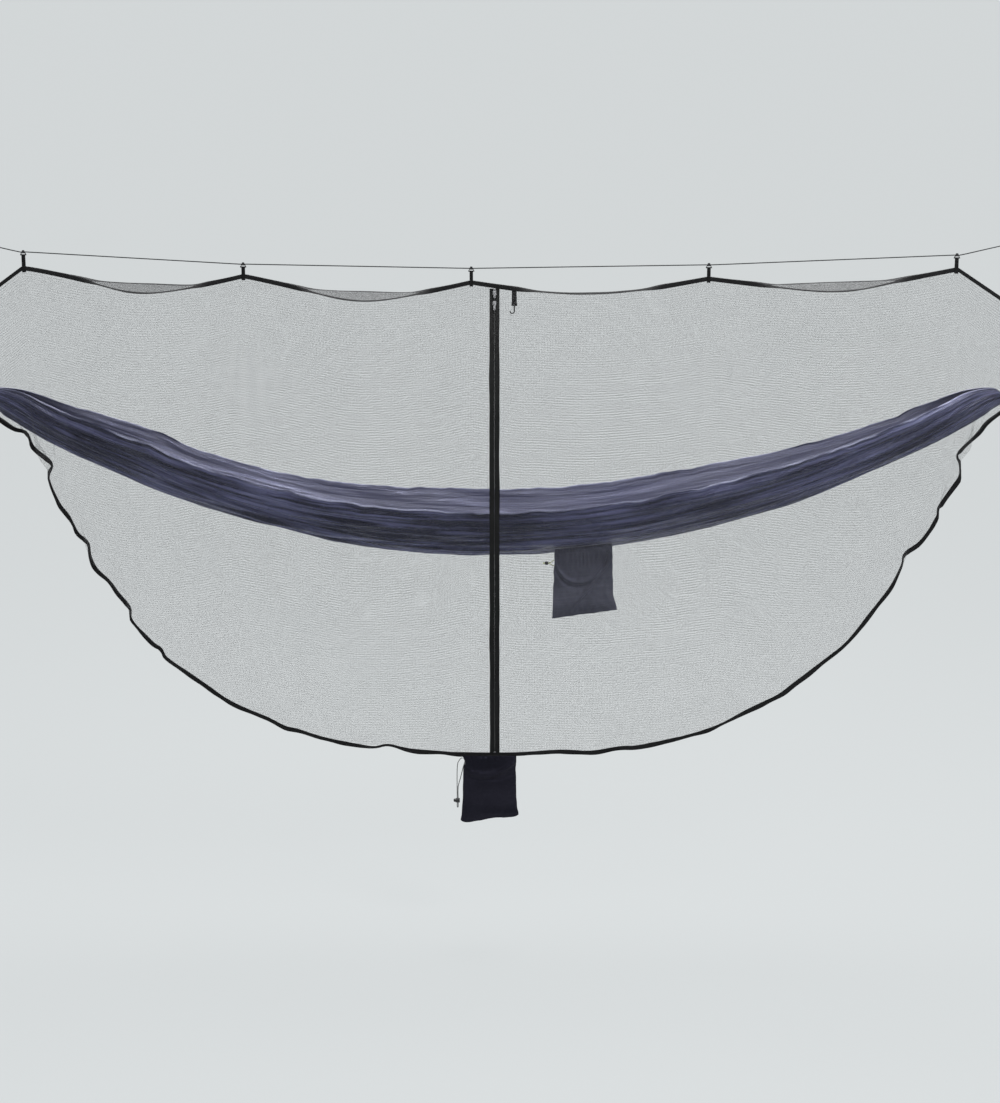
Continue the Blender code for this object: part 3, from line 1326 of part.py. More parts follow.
def sack_cord_route(edge, half_depth, middle):
    """Out of the mouth's corner, down one strand, round below the lock, and up behind the sack."""
    pitch = DRAWCORD_PITCH / 2
    near, far = middle.x + pitch, middle.x - pitch
    paired = middle.z + LOCK_RISE + LOCK_LENGTH
    outer = [
        *straight_exit(edge, -AXIS_X, DRAWCORD_DIAMETER),
        Vector((mix(edge.x, far, 0.85), 0.0, edge.z - 2 * LOCK_RADIUS)),
        Vector((far, 0.0, mix(edge.z, paired, 0.5))), Vector((far, 0.0, paired)),
        Vector((far, 0.0, middle.z + LOCK_RADIUS)), Vector((far, 0.0, middle.z - LOCK_RADIUS)),
        Vector((far, 0.0, middle.z - LOCK_TAIL + pitch)),
    ]
    turn = [Vector((middle.x, 0.0, middle.z - LOCK_TAIL))]
    back = Vector((edge.x + SACK_CORD_IN, half_depth, edge.z))
    inner = [
        Vector((near, 0.0, middle.z - LOCK_TAIL + pitch)), Vector((near, 0.0, middle.z - LOCK_RADIUS)),
        Vector((near, 0.0, middle.z + LOCK_RADIUS)), Vector((near, 0.0, paired)),
        Vector((mix(near, edge.x, 0.5), half_depth, mix(edge.z, paired, 0.7))),
        Vector((edge.x, SACK_CORD_BEHIND, mix(edge.z, paired, 0.4))),
        back + AXIS_Y * (SACK_CORD_BEHIND - half_depth) - AXIS_Z * LOCK_RADIUS,
        *reversed(straight_exit(back, AXIS_Y, DRAWCORD_DIAMETER)),
    ]
    return outer + turn + inner


def make_stuff_sack():
    rim_z = RIM_LINE[RIM_MIDDLE].z
    top = Vector((SACK_X, 0.0, rim_z - SACK_DROP))
    widths = [SACK_WIDTH * share for share in SACK_FLARE_SHARES]
    sack = bag("stuff_sack", top, AXIS_X, widths, SACK_HEIGHT, SACK_THICKNESS, SACK_EDGE, DARK_CLOTH)
    set_origin(sack, (SACK_X, 0.0, rim_z))
    edge = bag_edge(top, AXIS_X, widths, SACK_HEIGHT, SACK_CORD_DROP)
    half_depth = bag_half_depth(SACK_THICKNESS, SACK_EDGE, SACK_CORD_DROP / SACK_HEIGHT)
    middle = Vector((edge.x - LOCK_OUT, 0.0, top.z - LOCK_DROP))
    route = spline(sack_cord_route(edge, half_depth, middle), 2)
    tube("stuff_sack_drawcord", route, DRAWCORD_DIAMETER / 2, BLACK_CORD)
    make_cord_lock(middle)


make_walls()
make_top_panel()
make_ridge_bands()
make_rim()
make_cuffs()
make_ridgeline()
make_hangers()
make_zip()
make_gear_hook()
make_hammock()
make_pouch()
make_stuff_sack()
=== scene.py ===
# %% [markdown]
# # A hanging hammock inside its mosquito net
# This file dresses a hammock set: a gathered hammock of thin nylon hangs inside a
# closed net, and the net hangs by five short straps from a taut cord. The solid
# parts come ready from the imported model, and these cells give the cloth, cords and
# hardware their real looks. Everything is in metres, with Z up.

# %% Load the model and keep its box
import json
import math

import bpy
from mathutils import Matrix, Vector, noise
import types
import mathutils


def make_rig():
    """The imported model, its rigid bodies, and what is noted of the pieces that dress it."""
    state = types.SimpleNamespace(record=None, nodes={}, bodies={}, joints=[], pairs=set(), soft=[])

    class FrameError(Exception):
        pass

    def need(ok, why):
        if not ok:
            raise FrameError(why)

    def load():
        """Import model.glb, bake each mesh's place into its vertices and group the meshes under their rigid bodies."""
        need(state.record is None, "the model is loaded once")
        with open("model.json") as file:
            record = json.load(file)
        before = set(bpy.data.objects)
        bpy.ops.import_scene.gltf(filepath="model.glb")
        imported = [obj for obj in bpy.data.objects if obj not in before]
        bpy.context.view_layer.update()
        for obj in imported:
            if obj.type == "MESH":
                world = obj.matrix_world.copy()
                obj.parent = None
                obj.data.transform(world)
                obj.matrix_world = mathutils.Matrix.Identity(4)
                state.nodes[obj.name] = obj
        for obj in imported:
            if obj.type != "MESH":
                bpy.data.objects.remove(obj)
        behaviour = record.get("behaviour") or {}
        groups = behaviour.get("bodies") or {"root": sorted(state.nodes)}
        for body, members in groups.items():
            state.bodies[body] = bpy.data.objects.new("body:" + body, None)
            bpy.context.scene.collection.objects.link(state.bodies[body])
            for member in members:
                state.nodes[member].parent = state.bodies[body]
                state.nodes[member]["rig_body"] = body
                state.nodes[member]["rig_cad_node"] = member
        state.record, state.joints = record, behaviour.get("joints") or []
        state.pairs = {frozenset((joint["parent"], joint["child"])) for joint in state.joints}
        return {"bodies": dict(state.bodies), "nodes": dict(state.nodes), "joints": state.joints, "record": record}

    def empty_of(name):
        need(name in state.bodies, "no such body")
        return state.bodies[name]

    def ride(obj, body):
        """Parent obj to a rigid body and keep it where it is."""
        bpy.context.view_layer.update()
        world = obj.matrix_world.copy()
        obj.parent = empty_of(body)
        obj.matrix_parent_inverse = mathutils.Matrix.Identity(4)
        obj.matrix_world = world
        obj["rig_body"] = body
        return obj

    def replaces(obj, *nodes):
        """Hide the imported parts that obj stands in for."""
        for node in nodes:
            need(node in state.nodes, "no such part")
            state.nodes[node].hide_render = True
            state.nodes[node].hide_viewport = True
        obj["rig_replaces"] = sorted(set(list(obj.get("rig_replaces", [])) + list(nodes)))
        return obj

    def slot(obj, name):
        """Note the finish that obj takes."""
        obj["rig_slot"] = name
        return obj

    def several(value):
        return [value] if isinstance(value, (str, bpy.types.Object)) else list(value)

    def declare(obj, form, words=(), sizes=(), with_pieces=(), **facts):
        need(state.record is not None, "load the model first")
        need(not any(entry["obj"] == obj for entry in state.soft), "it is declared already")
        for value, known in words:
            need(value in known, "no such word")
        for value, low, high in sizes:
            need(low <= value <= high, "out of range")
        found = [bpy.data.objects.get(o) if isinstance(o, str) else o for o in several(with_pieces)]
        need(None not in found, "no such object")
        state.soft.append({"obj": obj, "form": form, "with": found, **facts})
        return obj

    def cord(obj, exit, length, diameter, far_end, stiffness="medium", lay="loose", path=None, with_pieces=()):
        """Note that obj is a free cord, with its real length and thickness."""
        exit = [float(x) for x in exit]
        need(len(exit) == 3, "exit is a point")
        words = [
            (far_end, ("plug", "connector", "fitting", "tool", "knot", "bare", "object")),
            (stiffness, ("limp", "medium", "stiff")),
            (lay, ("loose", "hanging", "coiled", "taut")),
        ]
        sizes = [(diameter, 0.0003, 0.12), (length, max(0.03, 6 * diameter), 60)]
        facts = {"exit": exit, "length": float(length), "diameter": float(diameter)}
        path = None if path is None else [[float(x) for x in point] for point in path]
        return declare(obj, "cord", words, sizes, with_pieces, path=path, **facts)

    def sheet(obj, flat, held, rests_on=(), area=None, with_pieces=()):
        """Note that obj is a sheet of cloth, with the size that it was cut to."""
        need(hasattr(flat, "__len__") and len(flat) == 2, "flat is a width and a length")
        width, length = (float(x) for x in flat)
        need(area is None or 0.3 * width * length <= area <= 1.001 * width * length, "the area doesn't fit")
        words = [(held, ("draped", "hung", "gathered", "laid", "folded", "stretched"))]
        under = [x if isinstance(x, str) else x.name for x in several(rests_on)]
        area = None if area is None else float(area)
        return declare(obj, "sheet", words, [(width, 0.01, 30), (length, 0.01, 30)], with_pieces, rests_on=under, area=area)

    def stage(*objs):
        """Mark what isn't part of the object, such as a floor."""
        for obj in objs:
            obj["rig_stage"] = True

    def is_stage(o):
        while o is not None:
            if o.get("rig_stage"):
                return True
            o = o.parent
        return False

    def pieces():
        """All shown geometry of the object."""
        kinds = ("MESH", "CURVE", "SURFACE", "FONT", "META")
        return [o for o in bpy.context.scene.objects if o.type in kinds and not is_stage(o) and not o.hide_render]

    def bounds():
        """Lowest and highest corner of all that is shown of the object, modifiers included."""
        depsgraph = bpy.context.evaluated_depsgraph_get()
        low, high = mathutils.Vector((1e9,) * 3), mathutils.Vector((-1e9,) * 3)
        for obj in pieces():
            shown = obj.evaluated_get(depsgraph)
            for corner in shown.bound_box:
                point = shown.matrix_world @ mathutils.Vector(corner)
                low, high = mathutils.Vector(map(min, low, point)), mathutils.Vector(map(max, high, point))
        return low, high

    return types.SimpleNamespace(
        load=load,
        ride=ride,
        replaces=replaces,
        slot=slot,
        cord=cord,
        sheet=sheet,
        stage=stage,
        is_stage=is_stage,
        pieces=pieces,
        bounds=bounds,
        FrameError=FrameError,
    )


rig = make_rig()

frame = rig.load()
nodes = frame["nodes"]
cad_box = [list(corner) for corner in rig.bounds()]
print("solid parts:", len(nodes), "box:", cad_box)

# %% [markdown]
# ## The camera
# The photograph looks down a little at the middle of the net. A camera 6.2 m in
# front, half a metre over the cord and tipped down by 12.56 degrees, gives the same
# lines for the cord, the rim and both hems of the hammock.

# %% Camera
bpy.ops.object.camera_add(
    location=(0.0159, -6.2, 0.54), rotation=(math.radians(90 - 12.56), 0.0, 0.0)
)
camera = bpy.context.object
camera.data.sensor_fit = "HORIZONTAL"
camera.data.sensor_width = 36.0
camera.data.lens = 76.68
bpy.context.scene.camera = camera
print("camera at", tuple(camera.location))


# %% [markdown]
# ## Small helpers
# Most soft pieces here are strips and sheets: a grid of points that follows a line
# or a curved surface. The helper below adds Blender's grid, moves each of its points
# to its place, and writes a UV map in metres, so that weave and stitches keep their
# real size wherever the cloth turns.

# %% Helpers for numbers
def mix(a, b, t):
    return a + (b - a) * t


def smooth_step(low, high, value):
    t = min(1.0, max(0.0, (value - low) / (high - low)))
    return t * t * (3 - 2 * t)


def spaced(start, end, count):
    return [mix(start, end, i / count) for i in range(count + 1)]


def fullness(share, powers):
    """How full a shape still is, from 1 in its middle to 0 at its end."""
    return (1 - min(1.0, share) ** powers[0]) ** powers[1]


def smooth_line(points, per_span):
    """More points, on a smooth line through the given ones."""
    ends = [2 * points[0] - points[1]] + list(points) + [2 * points[-1] - points[-2]]
    out = []
    for a, b, c, d in zip(ends, ends[1:], ends[2:], ends[3:]):
        for i in range(per_span):
            t = i / per_span
            pull = (c - a) * t + (2 * a - 5 * b + 4 * c - d) * t * t
            out.append(b + (pull + (3 * b - a - 3 * c + d) * t**3) / 2)
    return out + [points[-1]]


def line_length(points):
    return sum((b - a).length for a, b in zip(points, points[1:]))


def at_distance(points, lengths, distance):
    """The point some way along a line whose lengths so far are known."""
    distance = min(max(distance, 0.0), lengths[-1])
    low, high = 0, len(lengths) - 2
    while low < high:
        middle = (low + high + 1) // 2
        if lengths[middle] <= distance:
            low = middle
        else:
            high = middle - 1
    span = lengths[low + 1] - lengths[low]
    return points[low].lerp(points[low + 1], (distance - lengths[low]) / span)


def lengths_of(points):
    out = [0.0]
    for a, b in zip(points, points[1:]):
        out.append(out[-1] + (b - a).length)
    return out


def run_at(points, i):
    """The way along a line at one of its points."""
    return (points[min(i + 1, len(points) - 1)] - points[max(i - 1, 0)]).normalized()


def wander(a, b, c):
    """Smooth noise at a place, between about -1 and 1."""
    return noise.noise(Vector((a, b, c)))


AXIS_X, AXIS_Y, AXIS_Z = Vector((1, 0, 0)), Vector((0, 1, 0)), Vector((0, 0, 1))
GAP = 0.0003


# %% Helpers for pieces
def deselect():
    bpy.ops.object.select_all(action="DESELECT")


def pick(item):
    """Makes a piece the active one and the only selected one."""
    deselect()
    item.select_set(True)
    bpy.context.view_layer.objects.active = item


def grid_piece(name, columns, rows, place, uv=None):
    """Blender's grid, with point (i, j) moved to place(i, j) and a UV map in metres."""
    deselect()
    bpy.ops.mesh.primitive_grid_add(x_subdivisions=columns, y_subdivisions=rows, size=2)
    item = bpy.context.object
    item.name = item.data.name = name
    mesh = item.data
    spots = []
    for vertex in mesh.vertices:
        i = round((vertex.co.x + 1) / 2 * columns)
        j = round((vertex.co.y + 1) / 2 * rows)
        spots.append((i, j))
    points = {spot: place(*spot) for spot in spots}
    for vertex, spot in zip(mesh.vertices, spots):
        vertex.co = points[spot]
    along_u = [lengths_of([points[i, j] for i in range(columns + 1)]) for j in range(rows + 1)]
    along_v = [lengths_of([points[i, j] for j in range(rows + 1)]) for i in range(columns + 1)]
    layer = mesh.uv_layers[0]
    layer.name = "UVMap"
    for loop in mesh.loops:
        i, j = spots[loop.vertex_index]
        if uv:
            layer.data[loop.index].uv = uv(i, j, along_u[j][i], along_v[i][j])
        else:
            layer.data[loop.index].uv = (along_u[rows // 2][i], along_v[i][j])
    mesh.update()
    return item


def close_up(item, threshold=0.000002, caps=True):
    """Merges the meeting edges of a rolled grid, and closes its open ends."""
    pick(item)
    bpy.ops.object.mode_set(mode="EDIT")
    bpy.ops.mesh.select_all(action="SELECT")
    bpy.ops.mesh.remove_doubles(threshold=threshold)
    if caps:
        bpy.ops.mesh.fill_holes(sides=0)
        bpy.ops.mesh.select_all(action="SELECT")
    bpy.ops.mesh.normals_make_consistent(inside=False)
    bpy.ops.object.mode_set(mode="OBJECT")


def smooth(item, angle=40):
    pick(item)
    bpy.ops.object.shade_smooth_by_angle(angle=math.radians(angle))
    return item


def thicken(item, thickness):
    """A real thickness for a sheet, half to each side of it."""
    pick(item)
    wall = item.modifiers.new("thickness", "SOLIDIFY")
    wall.thickness = thickness
    wall.offset = 0.0
    bpy.ops.object.modifier_apply(modifier=wall.name)


def swept(name, places, section, closed=False, angle=40):
    """A section, a ring of (across, up) points, carried along places of (point, side, up)."""
    count = len(section)
    ring = list(section) + [section[0]]
    spots = list(places) + ([places[0]] if closed else [])

    def place(i, j):
        point, side, up = spots[j]
        return point + side * ring[i][0] + up * ring[i][1]

    run = lengths_of([spot[0] for spot in spots])
    item = grid_piece(
        name, count, len(spots) - 1, place, lambda i, j, u, v: (u, run[j])
    )
    close_up(item, caps=not closed)
    return smooth(item, angle)


def round_section(radius, sides):
    turns = [2 * math.pi * i / sides for i in range(sides)]
    return [(radius * math.cos(a), radius * math.sin(a)) for a in turns]


def tape_section(width, thickness, edge=None):
    """A flat tape's outline with rounded edges."""
    half, flat = width / 2, thickness / 2
    edge = flat * 0.7 if edge is None else edge
    right = [(half - edge, flat), (half, flat * 0.3), (half, -flat * 0.3), (half - edge, -flat)]
    middle = [(half / 3, -flat), (-half / 3, -flat)]
    return right + middle + [(-a, -b) for a, b in right + middle]


def turning_frames(points, first_side):
    """A side and an up for each point of a line, turned as little as the line allows."""
    out = []
    side = Vector(first_side)
    for i, point in enumerate(points):
        run = run_at(points, i)
        side = (side - run * side.dot(run)).normalized()
        out.append((point, side, run.cross(side)))
    return out


def cord_tube(name, points, radius, sides=8, closed=False, first_side=AXIS_Y):
    """A round cord along a line of points."""
    if closed:
        ring = [points[-1]] + list(points) + [points[0]]
        places = turning_frames(ring, first_side)[1:-1]
    else:
        places = turning_frames(points, first_side)
    return swept(name, places, round_section(radius, sides), closed, 60)


def dress(item, material, slot, body):
    item.data.materials.clear()
    item.data.materials.append(material)
    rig.slot(item, slot)
    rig.ride(item, body)


def fit(item, material, slot, node, body="net"):
    """Dresses a piece that takes the place of a solid part, and prints its size."""
    dress(item, material, slot, body)
    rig.replaces(item, node)
    print(item.name, "has", len(item.data.polygons), "faces")
    return item


def face_area(item):
    return sum(face.area for face in item.data.polygons)


print("helpers ready")


# %% [markdown]
# ## Backdrop, floor and light
# The set hangs before a plain grey wall. Rays from the camera see that grey as it is,
# and the floor keeps a little of the shadow, so no lamp has to burn the wall out.

# %% Backdrop and floor
BACKDROP_GREY = (0.682, 0.712, 0.719, 1.0)
FLOOR_GREY = (0.66, 0.68, 0.69, 1.0)
SHADOW_SHARE = 0.08
FLOOR_HEIGHT, FLOOR_SIZE, WALL_HEIGHT = -2.05, 36, 14.0


def backdrop_material(name):
    material = bpy.data.materials.new(name)
    material.use_nodes = True
    tree = material.node_tree
    tree.nodes.clear()
    out, blend, lit, plain, path, seen, share = (
        tree.nodes.new("ShaderNode" + kind) for kind in
        ("OutputMaterial", "MixShader", "BsdfDiffuse", "Emission", "LightPath", "Math", "Math")
    )
    lit.inputs["Color"].default_value = FLOOR_GREY
    plain.inputs["Color"].default_value = BACKDROP_GREY
    seen.operation = "MAXIMUM"
    share.operation = "MULTIPLY"
    share.inputs[1].default_value = 1 - SHADOW_SHARE
    for source, target in (
        (path.outputs["Is Camera Ray"], seen.inputs[0]),
        (path.outputs["Is Glossy Ray"], seen.inputs[1]),
        (seen.outputs[0], share.inputs[0]), (share.outputs[0], blend.inputs["Fac"]),
        (lit.outputs[0], blend.inputs[1]), (plain.outputs[0], blend.inputs[2]),
        (blend.outputs[0], out.inputs["Surface"]),
    ):
        tree.links.new(source, target)
    return material


deselect()
bpy.ops.mesh.primitive_plane_add(size=FLOOR_SIZE, location=(0.0, -6.0, FLOOR_HEIGHT))
floor = bpy.context.object
floor.name = "studio_floor"
floor.data.materials.append(backdrop_material("studio_grey"))
bpy.ops.object.mode_set(mode="EDIT")
bpy.ops.mesh.select_all(action="DESELECT")
bpy.ops.object.mode_set(mode="OBJECT")
for edge in floor.data.edges:
    ends = [floor.data.vertices[i].co.y for i in edge.vertices]
    edge.select = min(ends) > 0
bpy.ops.object.mode_set(mode="EDIT")
bpy.ops.mesh.select_mode(type="EDGE")
bpy.ops.mesh.extrude_region_move(TRANSFORM_OT_translate={"value": (0.0, 0.0, WALL_HEIGHT)})
bpy.ops.object.mode_set(mode="OBJECT")
curve = floor.modifiers.new("cove", "BEVEL")
curve.width = 2.5
curve.segments = 12
curve.limit_method = "ANGLE"
bpy.ops.object.modifier_apply(modifier=curve.name)
smooth(floor, 60)
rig.stage(floor)
print("floor at", FLOOR_HEIGHT, "with", len(floor.data.polygons), "faces")

# %% Lamps and world
def soft_lamp(name, place, aim, size, watts):
    bpy.ops.object.light_add(type="AREA", location=place)
    lamp = bpy.context.object
    lamp.name = name
    lamp.data.shape = "SQUARE"
    lamp.data.size = size
    lamp.data.energy = watts
    lamp.rotation_euler = (Vector(aim) - Vector(place)).to_track_quat("-Z", "Y").to_euler()


soft_lamp("key_lamp", (2.9, -3.2, 3.3), (0.0, 0.0, -0.6), 1.8, 260)
soft_lamp("fill_lamp", (-3.8, -4.2, 1.4), (0.0, 0.0, -0.7), 2.4, 60)
soft_lamp("top_lamp", (0.4, 1.2, 3.0), (0.0, 0.1, -0.5), 2.0, 230)
world = bpy.data.worlds.new("studio_air")
bpy.context.scene.world = world
world.use_nodes = True
air = world.node_tree.nodes["Background"]
air.inputs["Color"].default_value = (0.93, 0.96, 1.0, 1.0)
air.inputs["Strength"].default_value = 0.32
bpy.context.scene.view_settings.view_transform = "Standard"
print("lamps:", [o.name for o in bpy.data.objects if o.type == "LIGHT"])


# %% [markdown]
# ## Materials
# Every finish is a node tree: a colour that wanders a little, a roughness that does
# too, and the weave as bump. Cloth reads its own UV map, which is in metres, so a
# thread is as wide as a real one. Moulded and metal parts read Object coordinates.

# %% Helpers for materials
class Finish:
    """A Principled material and short ways to add nodes to it."""

    def __init__(self, name, colour, roughness, metallic=0.0):
        self.material = bpy.data.materials.new(name)
        self.material.use_nodes = True
        self.tree = self.material.node_tree
        self.shader = self.tree.nodes["Principled BSDF"]
        self.set("Base Color", (*colour, 1.0))
        self.set("Roughness", roughness)
        self.set("Metallic", metallic)
        self.places = self.tree.nodes.new("ShaderNodeTexCoord")

    def set(self, socket, value):
        self.shader.inputs[socket].default_value = value

    def add(self, kind, **settings):
        node = self.tree.nodes.new("ShaderNode" + kind)
        for key, value in settings.items():
            setattr(node, key, value)
        return node

    def link(self, source, target):
        self.tree.links.new(source, target)

    def math(self, operation, first, second=None, third=None):
        node = self.add("Math", operation=operation)
        for socket, value in zip(node.inputs, (first, second, third)):
            if value is None:
                continue
            if isinstance(value, (int, float)):
                socket.default_value = value
            else:
                self.link(value, socket)
        return node.outputs[0]

    def uv(self):
        """The two ways along the cloth, in metres."""
        split = self.add("SeparateXYZ")
        self.link(self.places.outputs["UV"], split.inputs[0])
        return split.outputs[0], split.outputs[1]

    def noise(self, scale, detail=3.0, coordinates="Object", stretch=(1, 1, 1)):
        spread = self.add("Mapping")
        spread.inputs["Scale"].default_value = stretch
        self.link(self.places.outputs[coordinates], spread.inputs["Vector"])
        texture = self.add("TexNoise")
        texture.inputs["Scale"].default_value = scale
        texture.inputs["Detail"].default_value = detail
        self.link(spread.outputs[0], texture.inputs["Vector"])
        return texture.outputs["Fac"]

    def shades(self, source, stops):
        """A colour ramp on the base colour: stops are (place, colour)."""
        ramp = self.add("ValToRGB")
        points = ramp.color_ramp.elements
        while len(points) < len(stops):
            points.new(0.5)
        for point, (place, colour) in zip(points, stops):
            point.position = place
            point.color = (*colour, 1.0)
        self.link(source, ramp.inputs[0])
        self.link(ramp.outputs[0], self.shader.inputs["Base Color"])

    def ranged(self, source, before, after, kind="LINEAR"):
        """The source, carried over from one range of values to another."""
        node = self.add("MapRange", interpolation_type=kind)
        names = ("From Min", "From Max", "To Min", "To Max")
        for socket, value in zip(names, (*before, *after)):
            node.inputs[socket].default_value = value
        self.link(source, node.inputs["Value"])
        return node.outputs[0]

    def rough(self, source, low, high):
        self.link(self.ranged(source, (0, 1), (low, high)), self.shader.inputs["Roughness"])

    def bump(self, height, distance, strength=1.0):
        node = self.add("Bump")
        node.inputs["Distance"].default_value = distance
        node.inputs["Strength"].default_value = strength
        self.link(height, node.inputs["Height"])
        if self.shader.inputs["Normal"].links:
            earlier = self.shader.inputs["Normal"].links[0].from_socket
            self.link(earlier, node.inputs["Normal"])
        self.link(node.outputs[0], self.shader.inputs["Normal"])

    def times(self, first, second):
        return self.math("MULTIPLY", first, second)

    def waves(self, way, pitch):
        """A sine wave that repeats at that pitch."""
        return self.math("SINE", self.times(way, 2 * math.pi / pitch))

    def turns(self, way, pitch):
        """How far a place is through its turn of that pitch, 0 to 1."""
        return self.math("FRACT", self.times(way, 1 / pitch))


def between(finish, source, low, high):
    """1 where the source lies between two values, else 0."""
    over = finish.math("GREATER_THAN", source, low)
    under = finish.math("LESS_THAN", source, high)
    return finish.times(over, under)


def tinted(colour, factor):
    return [min(1.0, factor * c) for c in colour]


# %% [markdown]
# ### Netting
# Mosquito net is a knit with holes about as wide as a pinhead. Modelling each hole
# would take millions of faces, so the holes are in the material: two sets of slanted
# threads decide where the surface is there and where it is clear.

# %% Netting
NET_PITCH, NET_SLANT, NET_PATCHES = 0.0021, 0.62, 0.15


def netting(name, colour, cover):
    """See-through knit: threads along both diagonals, covering that share of the cloth."""
    finish = Finish(name, colour, 0.75)
    u, v = finish.uv()
    uneven = finish.noise(9.0, 2.0, "UV")
    width = 1 - math.sqrt(1 - cover)
    tufts = []
    lines = []
    for operation in ("ADD", "SUBTRACT"):
        slant = finish.math(operation, u, finish.times(v, NET_SLANT))
        away = finish.math("SUBTRACT", finish.turns(slant, NET_PITCH), 0.5)
        lines.append(finish.math("ABSOLUTE", away))
        tufts.append(finish.waves(slant, 4.6 * NET_PITCH))
    nearest = finish.math("MINIMUM", lines[0], lines[1])
    thinnest = width * (0.5 - NET_PATCHES / 2)
    spread = finish.math("MULTIPLY_ADD", uneven, width * NET_PATCHES, thinnest)
    thicker = finish.math("MULTIPLY_ADD", finish.times(tufts[0], tufts[1]), 0.95, 1.0)
    spread = finish.times(spread, thicker)
    thread = finish.math("LESS_THAN", nearest, spread)
    finish.link(thread, finish.shader.inputs["Alpha"])
    return finish.material


net_wall = netting("net_wall", (0.055, 0.055, 0.058), 0.145)
net_roof = netting("net_roof", (0.020, 0.020, 0.022), 0.72)
print("netting:", net_wall.name, net_roof.name)

# %% [markdown]
# ### Thin nylon
# The hammock, the pouch and the sack are cut from parachute nylon: a smooth weave
# with a soft shine along its folds, and small creases left from being packed. The
# hammock's colour has painted shade in long streaks along its folds, painted highlights
# on their crests, and a painted paler far side for light that comes through the cloth.

# %% Nylon for the hammock, the pouch and the sack
SHINE_TINT = (0.60, 0.64, 1.0, 1.0)
WEAVE_PITCH, RIPSTOP_PITCH = 0.0009, 0.005


def nylon(
    name, dark, pale, rough, sheen, lit_through=None, creased=1.0, gloss=0.5, patch=5.0
):
    finish = Finish(name, pale, 0.5)
    tone_and_painted_light = finish.noise(patch, 4.0, "Object", (0.35, 1.0, 1.0))
    stops = [(0.38, dark), (0.60, pale)]
    u, v = finish.uv()
    if lit_through:
        # Painted shade: long dark streaks along the folds stand in for the shade inside the creases, painted deeper
        # towards the hammock's left end.
        broad = finish.noise(26.0, 3.0, "UV", (0.07, 1.0, 1.0))
        narrow = finish.noise(82.0, 3.0, "UV", (0.045, 1.0, 1.0))
        painted_fold_shade = finish.math("MULTIPLY_ADD", broad, 1.1, finish.times(narrow, 1.3))
        fold_shade_depth = finish.ranged(u, (1.1, 1.9), (1.5, 0.9), "SMOOTHSTEP")
        painted_fold_shade = finish.times(finish.math("SUBTRACT", painted_fold_shade, 1.2), fold_shade_depth)
        tone_and_painted_light = finish.math("MULTIPLY_ADD", tone_and_painted_light, 0.6, finish.math("ADD", painted_fold_shade, 0.2))
        # Painted light: the far side of the cloth is painted paler, for light that comes through it.
        painted_through_light = finish.ranged(v, (0.31, 0.47), (0, 1), "SMOOTHSTEP")
        tone_and_painted_light = finish.math("MULTIPLY_ADD", painted_through_light, 0.5, finish.times(tone_and_painted_light, 0.5))
        # The stops run from the dark of the painted fold shade to the cloth's own tone, then a painted highlight on
        # the crests, then the painted light through the far side.
        stops = [(0.17, dark), (0.27, pale), (0.40, tinted(pale, 2.1)), (0.82, lit_through)]
    finish.shades(tone_and_painted_light, stops)
    finish.rough(finish.noise(26.0, 3.0, "UV", (0.3, 1.0, 1.0)), *rough)
    finish.set("Specular IOR Level", gloss)
    finish.set("Specular Tint", SHINE_TINT)
    finish.set("Sheen Weight", sheen)
    finish.set("Sheen Roughness", 0.4)
    finish.set("Sheen Tint", SHINE_TINT)
    for scale, stretch, deep in ((21.0, 0.10, 0.021), (64.0, 0.16, 0.006)):
        cloth = finish.noise(scale, 3.0, "UV", (stretch, 1.0, 1.0))
        valley = finish.math("ABSOLUTE", finish.math("SUBTRACT", cloth, 0.5))
        finish.bump(valley, deep * creased)
    weave = finish.times(finish.waves(u, WEAVE_PITCH), finish.waves(v, WEAVE_PITCH))
    finish.bump(weave, 0.00006, 0.5)
    if lit_through:
        ribs = [finish.math("LESS_THAN", finish.turns(way, RIPSTOP_PITCH), 0.12) for way in (u, v)]
        finish.bump(finish.math("MAXIMUM", ribs[0], ribs[1]), 0.00008, 0.5)
    return finish.material


hammock_nylon = nylon(
    "hammock_nylon", (0.0056, 0.0058, 0.0122), (0.040, 0.042, 0.080), (0.20, 0.34), 0.26,
    (0.210, 0.215, 0.290), gloss=0.48,
)
# Painted highlight: the hems are painted far paler than the hammock's cloth, in broken patches, as the light catching
# each hem's fold.
hem_highlight_nylon = nylon(
    "hem_highlight_nylon", (0.030, 0.032, 0.060), (0.330, 0.340, 0.460), (0.22, 0.36), 0.45,
    creased=0.2, patch=17.0,
)
pouch_nylon = nylon(
    "pouch_nylon", (0.033, 0.034, 0.042), (0.065, 0.066, 0.082), (0.45, 0.62), 0.14,
    creased=0.50, patch=9.0,
)
sack_nylon = nylon(
    "sack_nylon", (0.0042, 0.0038, 0.0048), (0.0105, 0.0094, 0.0130), (0.40, 0.58), 0.02,
    creased=0.40, gloss=0.20, patch=9.0,
)
print("nylon:", hammock_nylon.name, pouch_nylon.name, sack_nylon.name)

# %% [markdown]
# ### Tape, cord and thread
# Bands, rim and zip are black polyester tape: ribs run across it, and a row of
# stitches runs down each edge. Cords are braided, so their bump winds round them.

# %% Tape and cord
RIB_PITCH, STITCH_PITCH, STITCH_WIDTH = 0.0014, 0.0032, 0.0006


